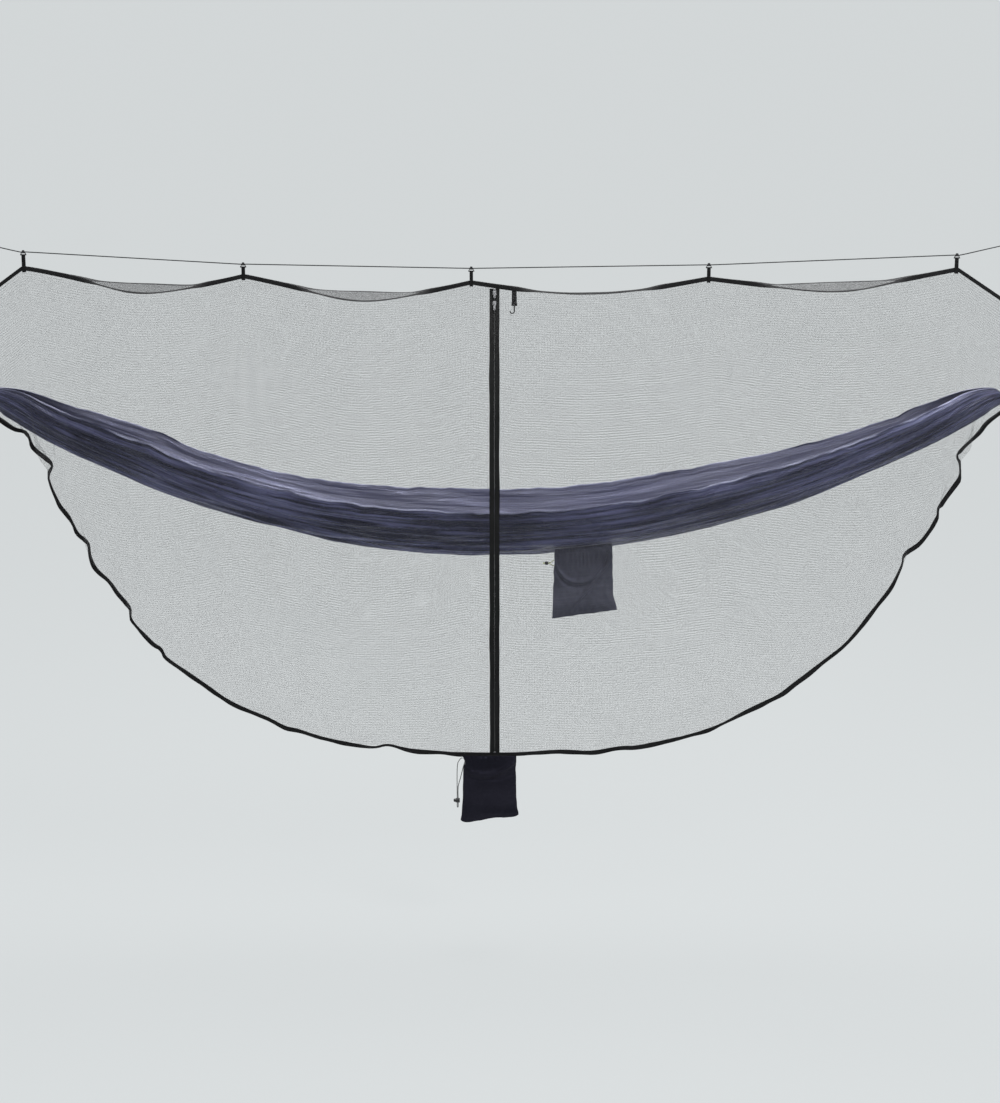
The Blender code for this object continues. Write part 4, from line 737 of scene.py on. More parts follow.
def woven_tape(name, colour, width):
    finish = Finish(name, colour, 0.8)
    u, v = finish.uv()
    finish.bump(finish.waves(v, RIB_PITCH), 0.00012, 0.7)
    finish.rough(finish.noise(40.0, 2.0, "UV"), 0.7, 0.9)
    finish.set("Sheen Weight", 0.03)
    finish.set("Specular IOR Level", 0.16)
    first, last = width * 0.10, width * 0.90
    rows = finish.math(
        "MAXIMUM",
        between(finish, u, first, first + STITCH_WIDTH),
        between(finish, u, last - STITCH_WIDTH, last),
    )
    dash = finish.math("LESS_THAN", finish.turns(v, STITCH_PITCH), 0.62)
    finish.bump(finish.times(rows, dash), 0.0003, 0.8)
    shade = finish.noise(14.0, 3.0, "UV")
    finish.shades(shade, [(0.3, tinted(colour, 0.75)), (0.7, tinted(colour, 1.35))])
    return finish.material


def braided(name, colour, radius, turns=2):
    """A cord of crossed strands, round and round its own UV map."""
    finish = Finish(name, colour, 0.75)
    around, onward = (finish.times(way, turns / radius) for way in finish.uv())
    first = finish.math("SINE", finish.math("ADD", around, onward))
    second = finish.math("SINE", finish.math("SUBTRACT", around, onward))
    finish.bump(finish.times(first, second), radius * 0.16, 0.8)
    finish.set("Specular IOR Level", 0.25)
    shade = finish.noise(30.0, 2.0, "UV")
    finish.shades(shade, [(0.3, tinted(colour, 0.7)), (0.7, tinted(colour, 1.3))])
    return finish.material


band_tape = woven_tape("band_tape", (0.0085, 0.0085, 0.0090), 0.0125)
rim_tape = woven_tape("rim_tape", (0.0065, 0.0065, 0.0070), 0.0085)
zip_tape = woven_tape("zip_tape", (0.0060, 0.0063, 0.0063), 0.0135)
strap_tape = woven_tape("strap_tape", (0.006, 0.006, 0.0065), 0.010)
line_cord = braided("line_cord", (0.020, 0.021, 0.023), 0.0015)
rope_cord = braided("rope_cord", (0.016, 0.016, 0.018), 0.003, 3)
draw_cord = braided("draw_cord", (0.005, 0.005, 0.006), 0.0011)
green_cord = braided("green_cord", (0.30, 0.34, 0.080), 0.0009)
binding_twine = braided("binding_twine", (0.018, 0.018, 0.020), 0.0009)
coil_nylon = Finish("coil_nylon", (0.012, 0.012, 0.0125), 0.4).material
print("tapes and cords ready")

# %% [markdown]
# ### Moulded and metal parts
# Hangers, toggles and the hook are injection moulded, with a faint grain. Sliders
# are cast zinc with brushed wear, and the carabiners are drawn steel rod.

# %% Plastics and metals
def moulded(name, colour, roughness):
    finish = Finish(name, colour, roughness)
    finish.bump(finish.noise(900.0, 2.0), 0.00005, 0.5)
    finish.rough(finish.noise(90.0, 3.0), roughness - 0.08, roughness + 0.08)
    finish.shades(finish.noise(160.0, 4.0), [(0.35, colour), (0.8, tinted(colour, 1.5))])
    return finish.material


def metal(name, dark, bright, rough_low, rough_high, stretch=(1, 1, 1)):
    finish = Finish(name, bright, rough_low, 1.0)
    finish.shades(finish.noise(220.0, 4.0, "Object", stretch), [(0.3, dark), (0.6, bright)])
    finish.rough(finish.noise(300.0, 3.0, "Object", stretch), rough_low, rough_high)
    finish.bump(finish.noise(700.0, 2.0, "Object", stretch), 0.00003, 0.4)
    return finish.material


black_plastic = moulded("black_plastic", (0.014, 0.014, 0.015), 0.42)
grey_plastic = moulded("grey_plastic", (0.010, 0.010, 0.011), 0.50)
slider_metal = metal("slider_metal", (0.30, 0.30, 0.31), (0.62, 0.62, 0.63), 0.22, 0.38)
stop_metal = metal("stop_metal", (0.10, 0.10, 0.11), (0.24, 0.24, 0.25), 0.35, 0.5)
steel_rod = metal("steel_rod", (0.42, 0.43, 0.45), (0.66, 0.67, 0.69), 0.18, 0.32, (1, 5, 1))
print("hard finishes ready")

# %% [markdown]
# ## The lines that the net follows
# The net is one closed bag. Its top edges are two bands that hang from five straps,
# its lower edge is one bound rim, and it closes round the hammock's gathered ends.
# Most of these numbers are the solid model's own. The left half of the rim and the way
# the bays open are matched more closely to the photograph.

# %% Numbers of the net
HALF_NET = 1.70
NET_HEIGHT = 1.43
BELLY = 0.22
NET_CLOTH = 0.0008
RIDGE_DROP = 0.045
LENS_WIDTH = 0.27
PINCH_WIDTH = 0.0044
PINCH_FLAT = 0.0065
BAND_WIDTH = 0.0125
BAND_THICKNESS = 0.0012
BAND_TWIST = math.radians(78)
RIM_WIDTH = 0.0085
HANGERS = [HALF_NET * s for s in (-0.8018, -0.4282, -0.0396, 0.3653, 0.7870)]
LINE_HEIGHTS = [NET_HEIGHT * s for s in (0.0322, 0.0077, -0.0007, 0.0063, 0.0259)]
BAND_HEIGHTS = [NET_HEIGHT * s - RIDGE_DROP for s in (0.0301, 0.0140, 0.0014, 0.0091, 0.0273)]
# For each bay between two hangers: how far its bands sag and to which side of its
# middle, how far they lie over, and how far they part near the hangers and midway.
BAY_SAG = (0.0, 0.031, 0.033, 0.025, 0.025, 0.0)
BAY_SKEW = (1.0, 1.22, 1.10, 1.0, 1.0, 1.0)
BAY_TWIST = (0.0, 1.0, 1.0, 0.97, 1.0, 0.0)
BAY_LENS = (0.0, 1.0, 1.0, 0.30, 1.0, 0.0)
BAY_LENS_MIDDLE = (0.0, 1.0, 1.0, 0.08, 1.0, 0.0)
RIM_SHARES = (
    (-1.0, 0.1840), (-0.935, 0.247), (-0.860, 0.306), (-0.832, 0.330), (-0.812, 0.338),
    (-0.801, 0.368), (-0.771, 0.402), (-0.778, 0.433), (-0.762, 0.485), (-0.745, 0.514),
    (-0.731, 0.550), (-0.714, 0.569), (-0.711, 0.598), (-0.700, 0.627), (-0.679, 0.652),
    (-0.664, 0.679), (-0.645, 0.709), (-0.642, 0.737), (-0.607, 0.786), (-0.592, 0.799),
    (-0.583, 0.819), (-0.546, 0.852), (-0.482, 0.907), (-0.445, 0.932), (-0.405, 0.952),
    (-0.375, 0.971), (-0.353, 0.978), (-0.293, 1.000), (-0.222, 1.014), (-0.191, 1.010),
    (-0.153, 1.022), (-0.090, 1.028), (-0.068, 1.0300), (0.0, 1.0310), (0.050, 1.0300),
    (0.117, 1.0245), (0.172, 1.027), (0.224, 1.017), (0.260, 1.014), (0.333, 0.994),
    (0.394, 0.971), (0.454, 0.933), (0.505, 0.902), (0.531, 0.878), (0.584, 0.827),
    (0.626, 0.783), (0.671, 0.711), (0.699, 0.664), (0.717, 0.617), (0.721, 0.593),
    (0.749, 0.566), (0.775, 0.513), (0.776, 0.496), (0.799, 0.452), (0.811, 0.428),
    (0.810, 0.403), (0.806, 0.380), (0.839, 0.338), (0.852, 0.317), (0.878, 0.293),
    (0.940, 0.240), (1.0, 0.1840),
)

HAMMOCK_END = HALF_NET * 0.9029412
HAMMOCK_LOW = 0.836
HAMMOCK_SAG = 0.468
BUNDLE_RADIUS = 0.0145
BUNDLE_LENGTH = 0.034
BUNDLE_START = HAMMOCK_END - BUNDLE_LENGTH
CUFF_HOLE = 0.0063 + 2 * GAP
CUFF_CLOTH = CUFF_HOLE + NET_CLOTH / 2
BAND_EDGE = BAND_WIDTH / 2 + GAP + NET_CLOTH / 2
RIM_EDGE = RIM_WIDTH / 2 + GAP + NET_CLOTH / 2
ZIP_WIDTH = 0.029
print("hangers at", [round(x, 3) for x in HANGERS])


# %% Lines of the hammock's ends and of the net
def hammock_base(x):
    """The hammock's lowest line, with the ways along it and up across it."""
    bend = HAMMOCK_SAG / HAMMOCK_END**2
    inner = math.copysign(min(abs(x), BUNDLE_START), x)
    slope = 2 * bend * inner
    height = -HAMMOCK_LOW + bend * inner * inner + slope * (x - inner)
    run = Vector((1.0, 0.0, slope)).normalized()
    return Vector((x, 0.0, height)), run, Vector((-run.z, 0.0, run.x))


def end_frame(side):
    """The middle of a gathered end, with the ways out of it and up across it."""
    base, run, up = hammock_base(side * HAMMOCK_END)
    return base + up * BUNDLE_RADIUS, run * side, up


BUNDLE_MIDDLE, outward, _ = end_frame(1)
END_SLOPE = outward.z / outward.x
CUFF_DROP = -BUNDLE_MIDDLE.z - (HALF_NET - BUNDLE_MIDDLE.x) * END_SLOPE
rim_points = [Vector((x * HALF_NET, 0.0, -z * NET_HEIGHT)) for x, z in RIM_SHARES]
for end_point in (rim_points[0], rim_points[-1]):
    end_point.z = -CUFF_DROP - CUFF_CLOTH - RIM_WIDTH / 2
rim_line = smooth_line(rim_points, 4)
middle_index = [x for x, z in RIM_SHARES].index(0.0) * 4
HALF_RIMS = {-1: rim_line[middle_index::-1], 1: rim_line[middle_index:]}
HALF_LENGTHS = {side: lengths_of(points) for side, points in HALF_RIMS.items()}
RIM_SPREAD = {s: (r[-1] - HALF_NET) / HALF_NET**2 for s, r in HALF_LENGTHS.items()}


def ridge_point(x):
    """The roof's height and half width at a place, how far it is open, and its bands' twist."""
    knots = [-HALF_NET, *HANGERS, HALF_NET]
    end_height = -CUFF_DROP + CUFF_CLOTH + BAND_WIDTH / 2
    heights = [end_height, *BAND_HEIGHTS, end_height]
    bay = 0
    while bay < len(knots) - 2 and x > knots[bay + 1]:
        bay += 1
    start = knots[bay] + (PINCH_FLAT if bay else 0.0)
    end = knots[bay + 1] - (PINCH_FLAT if bay < len(knots) - 2 else 0.0)
    t = min(1.0, max(0.0, (x - start) / (end - start)))
    bow = math.sin(math.pi * t ** BAY_SKEW[bay])
    open_share = BAY_LENS_MIDDLE[bay] * bow**4
    if BAY_LENS_MIDDLE[bay] < 1:
        near_hangers = BAY_LENS[bay] * bow * bow * mix(bow, 1.0, bow * bow)
        open_share = mix(near_hangers, open_share, smooth_step(0.50, 0.85, bow))
    height = mix(heights[bay], heights[bay + 1], t) - BAY_SAG[bay] * NET_HEIGHT * bow
    twist = BAND_TWIST * BAY_TWIST[bay] * smooth_step(0.46, 0.80, bow)
    return height, mix(PINCH_WIDTH, LENS_WIDTH, open_share) / 2, open_share, twist


def band_frame(x, side):
    """The middle of a ridge band, and the way across its width."""
    height, half_width, _, twist = ridge_point(x)
    across = Vector((0.0, -side * math.sin(twist), math.cos(twist)))
    return Vector((x, side * half_width, height)), across


def side_of(x):
    return -1 if x < 0 else 1


def rim_distance(x):
    return math.copysign(abs(x) + RIM_SPREAD[side_of(x)] * x * x, x)


def column_at(distance):
    spread = RIM_SPREAD[side_of(distance)]
    place = (math.sqrt(1 + 4 * spread * abs(distance)) - 1) / (2 * spread)
    return math.copysign(place, distance)


def rim_at(distance):
    side = side_of(distance)
    return at_distance(HALF_RIMS[side], HALF_LENGTHS[side], abs(distance))


def rim_frame(x):
    """The rim's point under a column, the way along it, and the way into the net."""
    distance = rim_distance(x)
    before, after = rim_at(distance - 0.012), rim_at(distance + 0.012)
    if distance - 0.012 < 0 < distance + 0.012:
        run = Vector((1.0, 0.0, 0.0))
    else:
        run = (after - before).normalized()
    return rim_at(distance), run, Vector((-run.z, 0.0, run.x))


def net_columns(start, end, pitch=0.016):
    """Columns of the cloth, evenly spaced along the rim, with the hangers among them."""
    pinches = [place + edge for place in HANGERS for edge in (-PINCH_FLAT, PINCH_FLAT)]
    fixed = [start, *[p for p in pinches if start < p < end], end]
    out = [start]
    for a, b in zip(fixed, fixed[1:]):
        first, last = rim_distance(a), rim_distance(b)
        steps = spaced(first, last, max(2, round((last - first) / pitch)))
        out += [column_at(step) for step in steps[1:-1]] + [b]
    return out


print("rim length", round(sum(r[-1] for r in HALF_LENGTHS.values()), 3), "m")

# %% [markdown]
# ## The cords, first
# A taut cord runs the whole length and carries the five hangers. It ends in a knotted
# eye at each end. Two short drawcords hang at the bags' mouths. They are made before
# the rest, because their lengths are checked against the camera's view.

# %% Ridgeline cord and its eyes
LINE_RADIUS = 0.0015
RING_HALF = 0.009
END_RUN, END_RISE = 0.321, 0.0726
knots = [Vector((HANGERS[0] - RING_HALF - END_RUN, 0.0, LINE_HEIGHTS[0] + END_RISE))]
for x, height in zip(HANGERS, LINE_HEIGHTS):
    knots += [Vector((x - RING_HALF, 0.0, height)), Vector((x + RING_HALF, 0.0, height))]
knots.append(Vector((HANGERS[-1] + RING_HALF + END_RUN, 0.0, LINE_HEIGHTS[-1] + END_RISE)))
ridge_route = [knots[0]]
for start, end, steps in zip(knots, knots[1:], (4, 1, 5, 1, 5, 1, 5, 1, 5, 1, 4)):
    ridge_route += [start.lerp(end, t) for t in spaced(0.0, 1.0, steps)[1:]]
line_points = smooth_line(ridge_route, 3)
ridgeline = cord_tube("ridgeline", line_points, LINE_RADIUS)
fit(ridgeline, line_cord, "black_cord", "ridgeline_cord")
EYE_LENGTH, EYE_HALF_WIDTH = 0.042, 0.010
eyes = []
for name, (end, before) in (("left", line_points[:2]), ("right", line_points[:-3:-1])):
    run = (end - before).normalized()
    up = AXIS_Y.cross(run)
    loop = []
    for t in spaced(0.0, 2 * math.pi, 44):
        away = (1 - math.cos(t)) / 2 * EYE_LENGTH
        across = math.sin(t) * EYE_HALF_WIDTH * (0.55 + away / EYE_LENGTH * 0.6)
        flat = up * (across + math.cos(t / 2) * LINE_RADIUS)
        loop.append(end + run * (GAP + 0.0091 + away) + flat)
    start_run = [end + run * (GAP + 0.001), end + run * 0.005]
    points = [*start_run, *loop, end + run * 0.0052 + AXIS_Y * 0.0004]
    eye = cord_tube(name + "_eye", points, LINE_RADIUS, 10)
    turns = []
    for t in spaced(0.0, 1.0, 84):
        angle = 2 * math.pi * 3.5 * t
        swell = 0.0030 + 0.0002 * math.sin(math.pi * t)
        centre = end + run * mix(0.0022, 0.0112, t)
        turns.append(centre + (up * math.cos(angle) + AXIS_Y * math.sin(angle)) * swell)
    knot = cord_tube(name + "_eye_knot", turns, LINE_RADIUS * 0.98)
    fit(eye, line_cord, "black_cord", f"ridgeline_{name}_eye")
    dress(knot, line_cord, "black_cord", "net")
    eyes += [eye, knot]
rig.cord(
    ridgeline, exit=tuple(line_points[0]), length=line_length(line_points),
    diameter=2 * LINE_RADIUS, far_end="knot", stiffness="limp", lay="taut",
    path=[tuple(p) for p in line_points], with_pieces=eyes,
)
print("ridgeline is", round(line_length(line_points), 3), "m long")

# %% Drawcords of the pouch and the stuff sack
POUCH_CORD_Y = -0.067504
pouch_route = [(x, POUCH_CORD_Y, z) for x, z in (
    (0.175802, -0.853921), (0.174002, -0.853921), (0.172202, -0.853921), (0.163411, -0.860191),
    (0.153161, -0.860191), (0.144161, -0.860191), (0.142911, -0.861441), (0.144161, -0.862691),
    (0.153161, -0.862691), (0.163411, -0.862691), (0.171820, -0.868961), (0.173620, -0.868961),
    (0.175420, -0.868961),
)]
sack_route = [
    (-0.097906, 0.000000, -1.486530), (-0.100106, 0.000000, -1.486530),
    (-0.102306, 0.000000, -1.486530), (-0.112481, 0.000000, -1.500530),
    (-0.115106, 0.000000, -1.532530), (-0.115106, 0.000000, -1.578530),
    (-0.115106, 0.000000, -1.614530), (-0.115106, 0.000000, -1.628530),
    (-0.115106, 0.000000, -1.642030), (-0.113606, 0.000000, -1.643530),
    (-0.112106, 0.000000, -1.642030), (-0.112106, 0.000000, -1.628530),
    (-0.112106, 0.000000, -1.614530), (-0.112106, 0.000000, -1.578530),
    (-0.104856, 0.003594, -1.550930), (-0.097606, 0.013000, -1.523330),
    (-0.089606, 0.013000, -1.493530), (-0.089606, 0.008294, -1.486530),
    (-0.089606, 0.006094, -1.486530), (-0.089606, 0.003894, -1.486530),
]
for name, route, per_span, radius, material, slot, node, body, held in (
    ("pouch_cord", pouch_route, 3, 0.0009, green_cord, "green_cord", "pouch_drawcord", "pouch",
     ["pouch_toggle"]),
    ("sack_cord", sack_route, 2, 0.0011, draw_cord, "black_cord", "stuff_sack_drawcord",
     "stuff_sack", ["stuff_sack_cord_lock", "stuff_sack_lock_button"]),
):
    points = smooth_line([Vector(p) for p in route], per_span)
    drawcord = fit(cord_tube(name, points, radius), material, slot, node, body)
    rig.cord(
        drawcord, exit=route[0], length=line_length(points), diameter=2 * radius,
        far_end="object", stiffness="limp", lay="hanging", path=[tuple(p) for p in points],
        with_pieces=held,
    )
    print(name, "is", round(line_length(points), 3), "m long")

# %% [markdown]
# ## The net's walls and roof
# Each wall is a grid of points between the ridge band and the rim. Near the middle
# it bellies out on an arc, and towards the ends it closes into a tunnel. Soft folds
# fan out under each hanger and stand along the gathered rim, and they die away where
# the net is sewn, so that the seams stay put.

# %% Shape of the walls
TUNNEL = (0.30, 0.88)
SOFT_EDGE = 0.012


def arc_profile(top, bottom, belly, share):
    chord = top - bottom
    length = chord.length
    radius = (length * length / 4 + belly * belly) / (2 * belly)
    outward = Vector((chord.y, -chord.x)) / length
    centre = (top + bottom) / 2 - outward * (radius - belly)
    angle = math.asin(length / 2 / radius) * (1 - 2 * share)
    return centre + (outward * math.cos(angle) + chord / length * math.sin(angle)) * radius


def tunnel_profile(top, bottom, belly, share, round_share):
    up = 1 - share
    lift = mix(up**1.9, (1 - math.cos(math.pi * up)) / 2, round_share)
    depth = belly * math.sin(math.pi * up) + mix(bottom.x, top.x, up)
    return Vector((depth, mix(bottom.y, top.y, lift)))


def wall_fold(x, side, s):
    """How far a fold stands out of the wall."""
    nearest = min(HANGERS, key=lambda h: abs(h - x))
    fan = math.exp(-(((x - nearest) / (0.05 + 0.45 * s)) ** 2))
    angle = (x - nearest) / (0.03 + s)
    folds = 0.0045 * fan * math.sin(angle * 34 + side) * smooth_step(0.0, 0.06, s) * (1 - s) ** 2
    run = rim_distance(x)
    gathers = wander(run * 13, side * 3.1, s * 2.2)
    folds += 0.010 * gathers * smooth_step(0.55, 0.93, s) * smooth_step(1.0, 0.97, s)
    slow = wander(run * 2.6, side * 7.7, s * 3.4)
    folds += 0.012 * slow * math.sin(math.pi * s)
    calm = smooth_step(0.0145, 0.09, abs(x)) if side < 0 else 1.0
    return folds * calm * (1 - smooth_step(0.90, 0.99, abs(x) / HALF_NET))


def rim_reach(side, height):
    """How far out the rim is at a height."""
    rim_side = HALF_RIMS[side]
    if height > rim_side[-1].z:
        return HALF_NET
    for low, high in zip(rim_side, rim_side[1:]):
        if low.z <= height < high.z:
            return abs(mix(low.x, high.x, (height - low.z) / (high.z - low.z)))
    return HALF_NET


def held_in(x, depth, height, s):
    """A place along the net, drawn in where it would bulge past the climbing rim."""
    limit = rim_reach(side_of(x), height) - 0.15 * depth
    over = min(SOFT_EDGE, max(-SOFT_EDGE, abs(x) - limit))
    drawn = (over + SOFT_EDGE) ** 2 / (4 * SOFT_EDGE) + max(0.0, abs(x) - limit - SOFT_EDGE)
    return x - math.copysign(drawn * smooth_step(0.45, 0.60, s) * smooth_step(1.0, 0.97, s), x)


def wall_point(x, side, s):
    """A point of a wall, from its band (s is 0) to the rim (s is 1)."""
    middle, across = band_frame(x, side)
    top = middle - across * BAND_EDGE
    foot, _, inward = rim_frame(x)
    bottom = foot + inward * RIM_EDGE
    bottom.y = side * (NET_CLOTH + GAP) / 2
    flat_top, flat_bottom = Vector((side * top.y, top.z)), Vector((side * bottom.y, bottom.z))
    share = abs(x) / HALF_NET
    belly = mix(CUFF_CLOTH, BELLY, fullness(share, (3, 0.7)))
    arc = arc_profile(flat_top, flat_bottom, belly, s)
    round_share = smooth_step(TUNNEL[1], 1.0, share)
    wrap = tunnel_profile(flat_top, flat_bottom, belly, s, round_share)
    flat = arc.lerp(wrap, smooth_step(*TUNNEL, share))
    fall = (flat_top.y - flat.y) / (flat_top.y - flat_bottom.y)
    out = wall_fold(x, side, s)
    steep = smooth_step(0.68, 0.76, share) * (1 - smooth_step(0.84, 0.92, share))
    close = 1 - steep * (0.5 * smooth_step(0.60, 0.85, s) + 0.3 * smooth_step(0.86, 0.94, s))
    depth = (flat.x + out) * close
    along = mix(top.x, bottom.x, fall)
    if steep > 0:
        along = mix(along, held_in(along, depth, flat.y, s), steep)
    return Vector((along, side * depth, flat.y))


# %% Build the walls
WALL_ROWS = 44
zip_edge = ZIP_WIDTH / 2 + GAP
shares = [smooth_step(0.0, 1.0, t) * 0.35 + t * 0.65 for t in spaced(0.0, 1.0, WALL_ROWS)]
for name, node, start, end, side in (
    ("net_wall_near_left", "net_front_left", -HALF_NET, -zip_edge, -1),
    ("net_wall_near_right", "net_front_right", zip_edge, HALF_NET, -1),
    ("net_wall_far", "net_back", -HALF_NET, HALF_NET, 1),
):
    columns = net_columns(start, end)
    wall = grid_piece(
        name, len(columns) - 1, WALL_ROWS,
        lambda i, j: wall_point(columns[i], side, shares[j]),
        lambda i, j, u, v: (rim_distance(columns[i]), v),
    )
    fit(smooth(wall, 180), net_wall, "netting", node)
    area = face_area(wall)
    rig.sheet(
        wall, flat=(end - start, max(1.42, area / (end - start) * 1.02)), held="hung",
        area=area * 0.98, rests_on=["front_ridge_band" if side < 0 else "back_ridge_band"],
    )
    print(name, "area", round(area, 3), "m2")


# %% Build the roof
def roof_point(x, t):
    """Across the roof from the near band to the far one; it sags between them."""
    middle, across = band_frame(x, -1)
    front = middle + across * BAND_EDGE
    open_share = ridge_point(x)[2]
    ripple = wander(x * 9, t * 5, 2.2) * 0.004 * open_share
    dip = (0.010 * open_share + ripple) * math.sin(math.pi * t)
    return Vector((x, mix(front.y, -front.y, t), front.z - dip))


ROOF_ROWS = 10
columns = net_columns(-HALF_NET, HALF_NET)
roof = grid_piece(
    "net_roof", len(columns) - 1, ROOF_ROWS,
    lambda i, j: roof_point(columns[i], j / ROOF_ROWS), lambda i, j, u, v: (u, v),
)
fit(smooth(roof, 180), net_roof, "netting", "net_top_panel")
least_area = 0.3 * 2 * HALF_NET * LENS_WIDTH
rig.sheet(
    roof, flat=(2 * HALF_NET, LENS_WIDTH), held="hung", area=max(face_area(roof), least_area),
    rests_on=["front_ridge_band", "back_ridge_band"],
)
print("roof area", round(face_area(roof), 3), "m2")

# %% [markdown]
# ## Bands, rim and cuffs
# The net's edges are bound in black tape. A tape is a flat section swept along the
# edge. Between two hangers the band lies over on its side, which is why it looks
# thick at the hangers and thin in between. The rim's tape twists a little as it goes,
# and shows less of its width where the rim climbs steeply.

# %% Ridge bands
fine_columns = net_columns(-HALF_NET, HALF_NET, 0.012)
for name, node, side in (
    ("near_ridge_binding", "front_ridge_band", -1), ("far_ridge_binding", "back_ridge_band", 1),
):
    places = []
    for x in fine_columns:
        middle, across = band_frame(x, side)
        sway = wander(x * 11, side, 0.4) * math.radians(9)
        sway *= smooth_step(0.0, 0.1, ridge_point(x)[2])
        across = Matrix.Rotation(sway, 3, "X") @ across
        places.append((middle, across, AXIS_X.cross(across)))
    band = swept(name, places, tape_section(BAND_WIDTH, BAND_THICKNESS), angle=50)
    fit(band, band_tape, "black_tape", node)

# %% Rim binding
RIM_TAPE_WIDTH = RIM_WIDTH * 1.18
places = []
for x in net_columns(-HALF_NET, HALF_NET, 0.010):
    point, run, inward = rim_frame(x)
    distance = rim_distance(x)
    calm = smooth_step(1.0, 0.97, abs(x) / HALF_NET) * smooth_step(0.02, 0.12, abs(x))
    roll = 0.9 * wander(distance * 7.0, 5.5, 0.0) + 0.4 * wander(distance * 19.0, 1.5, 0.0)
    roll *= calm
    drift = 0.0025 * wander(distance * 9.0, 9.9, 0.0) * calm
    shown = 1 + calm * (0.45 * wander(distance * 15.0, 3.3, 0.0) + 0.30)
    shown -= calm * 0.64 * smooth_step(0.86, 1.0, abs(run.z))
    side_way = inward * math.cos(roll) + AXIS_Y * math.sin(roll)
    middle = point + AXIS_Y * drift + inward * (0.0008 + (1 - shown) * RIM_TAPE_WIDTH / 2)
    places.append((middle, side_way * shown, run.cross(side_way)))
rim = swept("rim_binding", places, tape_section(RIM_TAPE_WIDTH, 0.0030, 0.0009), angle=50)
fit(rim, rim_tape, "black_tape", "bottom_rim_binding")

# %% Cuffs round the hammock's rope
CUFF_SIDES = 48
CUFF_PROFILE = [(CUFF_HOLE + wall, out) for wall, out in (
    (0.0, 0.0), (0.0026, 0.0), (0.0038, 0.0010), (0.0032, 0.0040), (0.0040, 0.0062),
    (0.0032, 0.0085), (0.0038, 0.0110), (0.0026, 0.0120), (0.0, 0.0120),
)]
for name, side in (("left", -1), ("right", 1)):
    def cuff_point(i, j):
        radius, out = CUFF_PROFILE[j % len(CUFF_PROFILE)]
        angle = 2 * math.pi * i / CUFF_SIDES
        if radius > CUFF_HOLE:
            radius -= 0.0006 * (0.5 + 0.5 * math.cos(angle * 16))
        height = -CUFF_DROP + radius * math.sin(angle) + out * END_SLOPE
        return Vector((side * (HALF_NET + 2 * GAP + out), radius * math.cos(angle), height))

    cuff = grid_piece(
        name + "_gathered_cuff", CUFF_SIDES, len(CUFF_PROFILE), cuff_point,
        lambda i, j, u, v: (v, u),
    )
    close_up(cuff, caps=False)
    fit(smooth(cuff, 60), rim_tape, "black_tape", name + "_cuff")

# %% [markdown]
# ## The zip
# Two tapes meet in the middle of the near wall, each with a row of nylon coil on its
# inner edge. They follow the wall's arc, and their outer edges wave a little, because
# tape and netting never pull quite alike. The two sliders are parked at the top.

# %% The zip's arc
ZIP_SLIT = 0.0018
middle, across = band_frame(0.0, -1)
top = middle - across * BAND_EDGE
ZIP_TOP = Vector((-top.y, top.z))
rim_low = rim_at(0.0)
ZIP_BOTTOM = Vector(((NET_CLOTH + GAP) / 2, rim_low.z + RIM_EDGE))
ZIP_CHORD = ZIP_TOP - ZIP_BOTTOM
zip_radius = (ZIP_CHORD.length**2 / 4 + BELLY * BELLY) / (2 * BELLY)
zip_arc = 2 * math.asin(ZIP_CHORD.length / 2 / zip_radius)
ZIP_RUN = zip_arc * zip_radius


def zip_frame(distance):
    """A place on the zip, with the ways up along it and out of it."""
    share = distance / ZIP_RUN
    flat = arc_profile(ZIP_TOP, ZIP_BOTTOM, BELLY, share)
    lean = math.atan2(ZIP_CHORD.x, ZIP_CHORD.y) - zip_arc * (0.5 - share)
    up = Vector((0.0, -math.sin(lean), math.cos(lean)))
    return Vector((0.0, -flat.x, flat.y)), up, AXIS_X.cross(up)


print("the zip is", round(ZIP_RUN, 3), "m long")

# %% Zip tapes and their coils
TEETH = 620
TAPE_COLUMNS, TAPE_ROWS = 10, 260
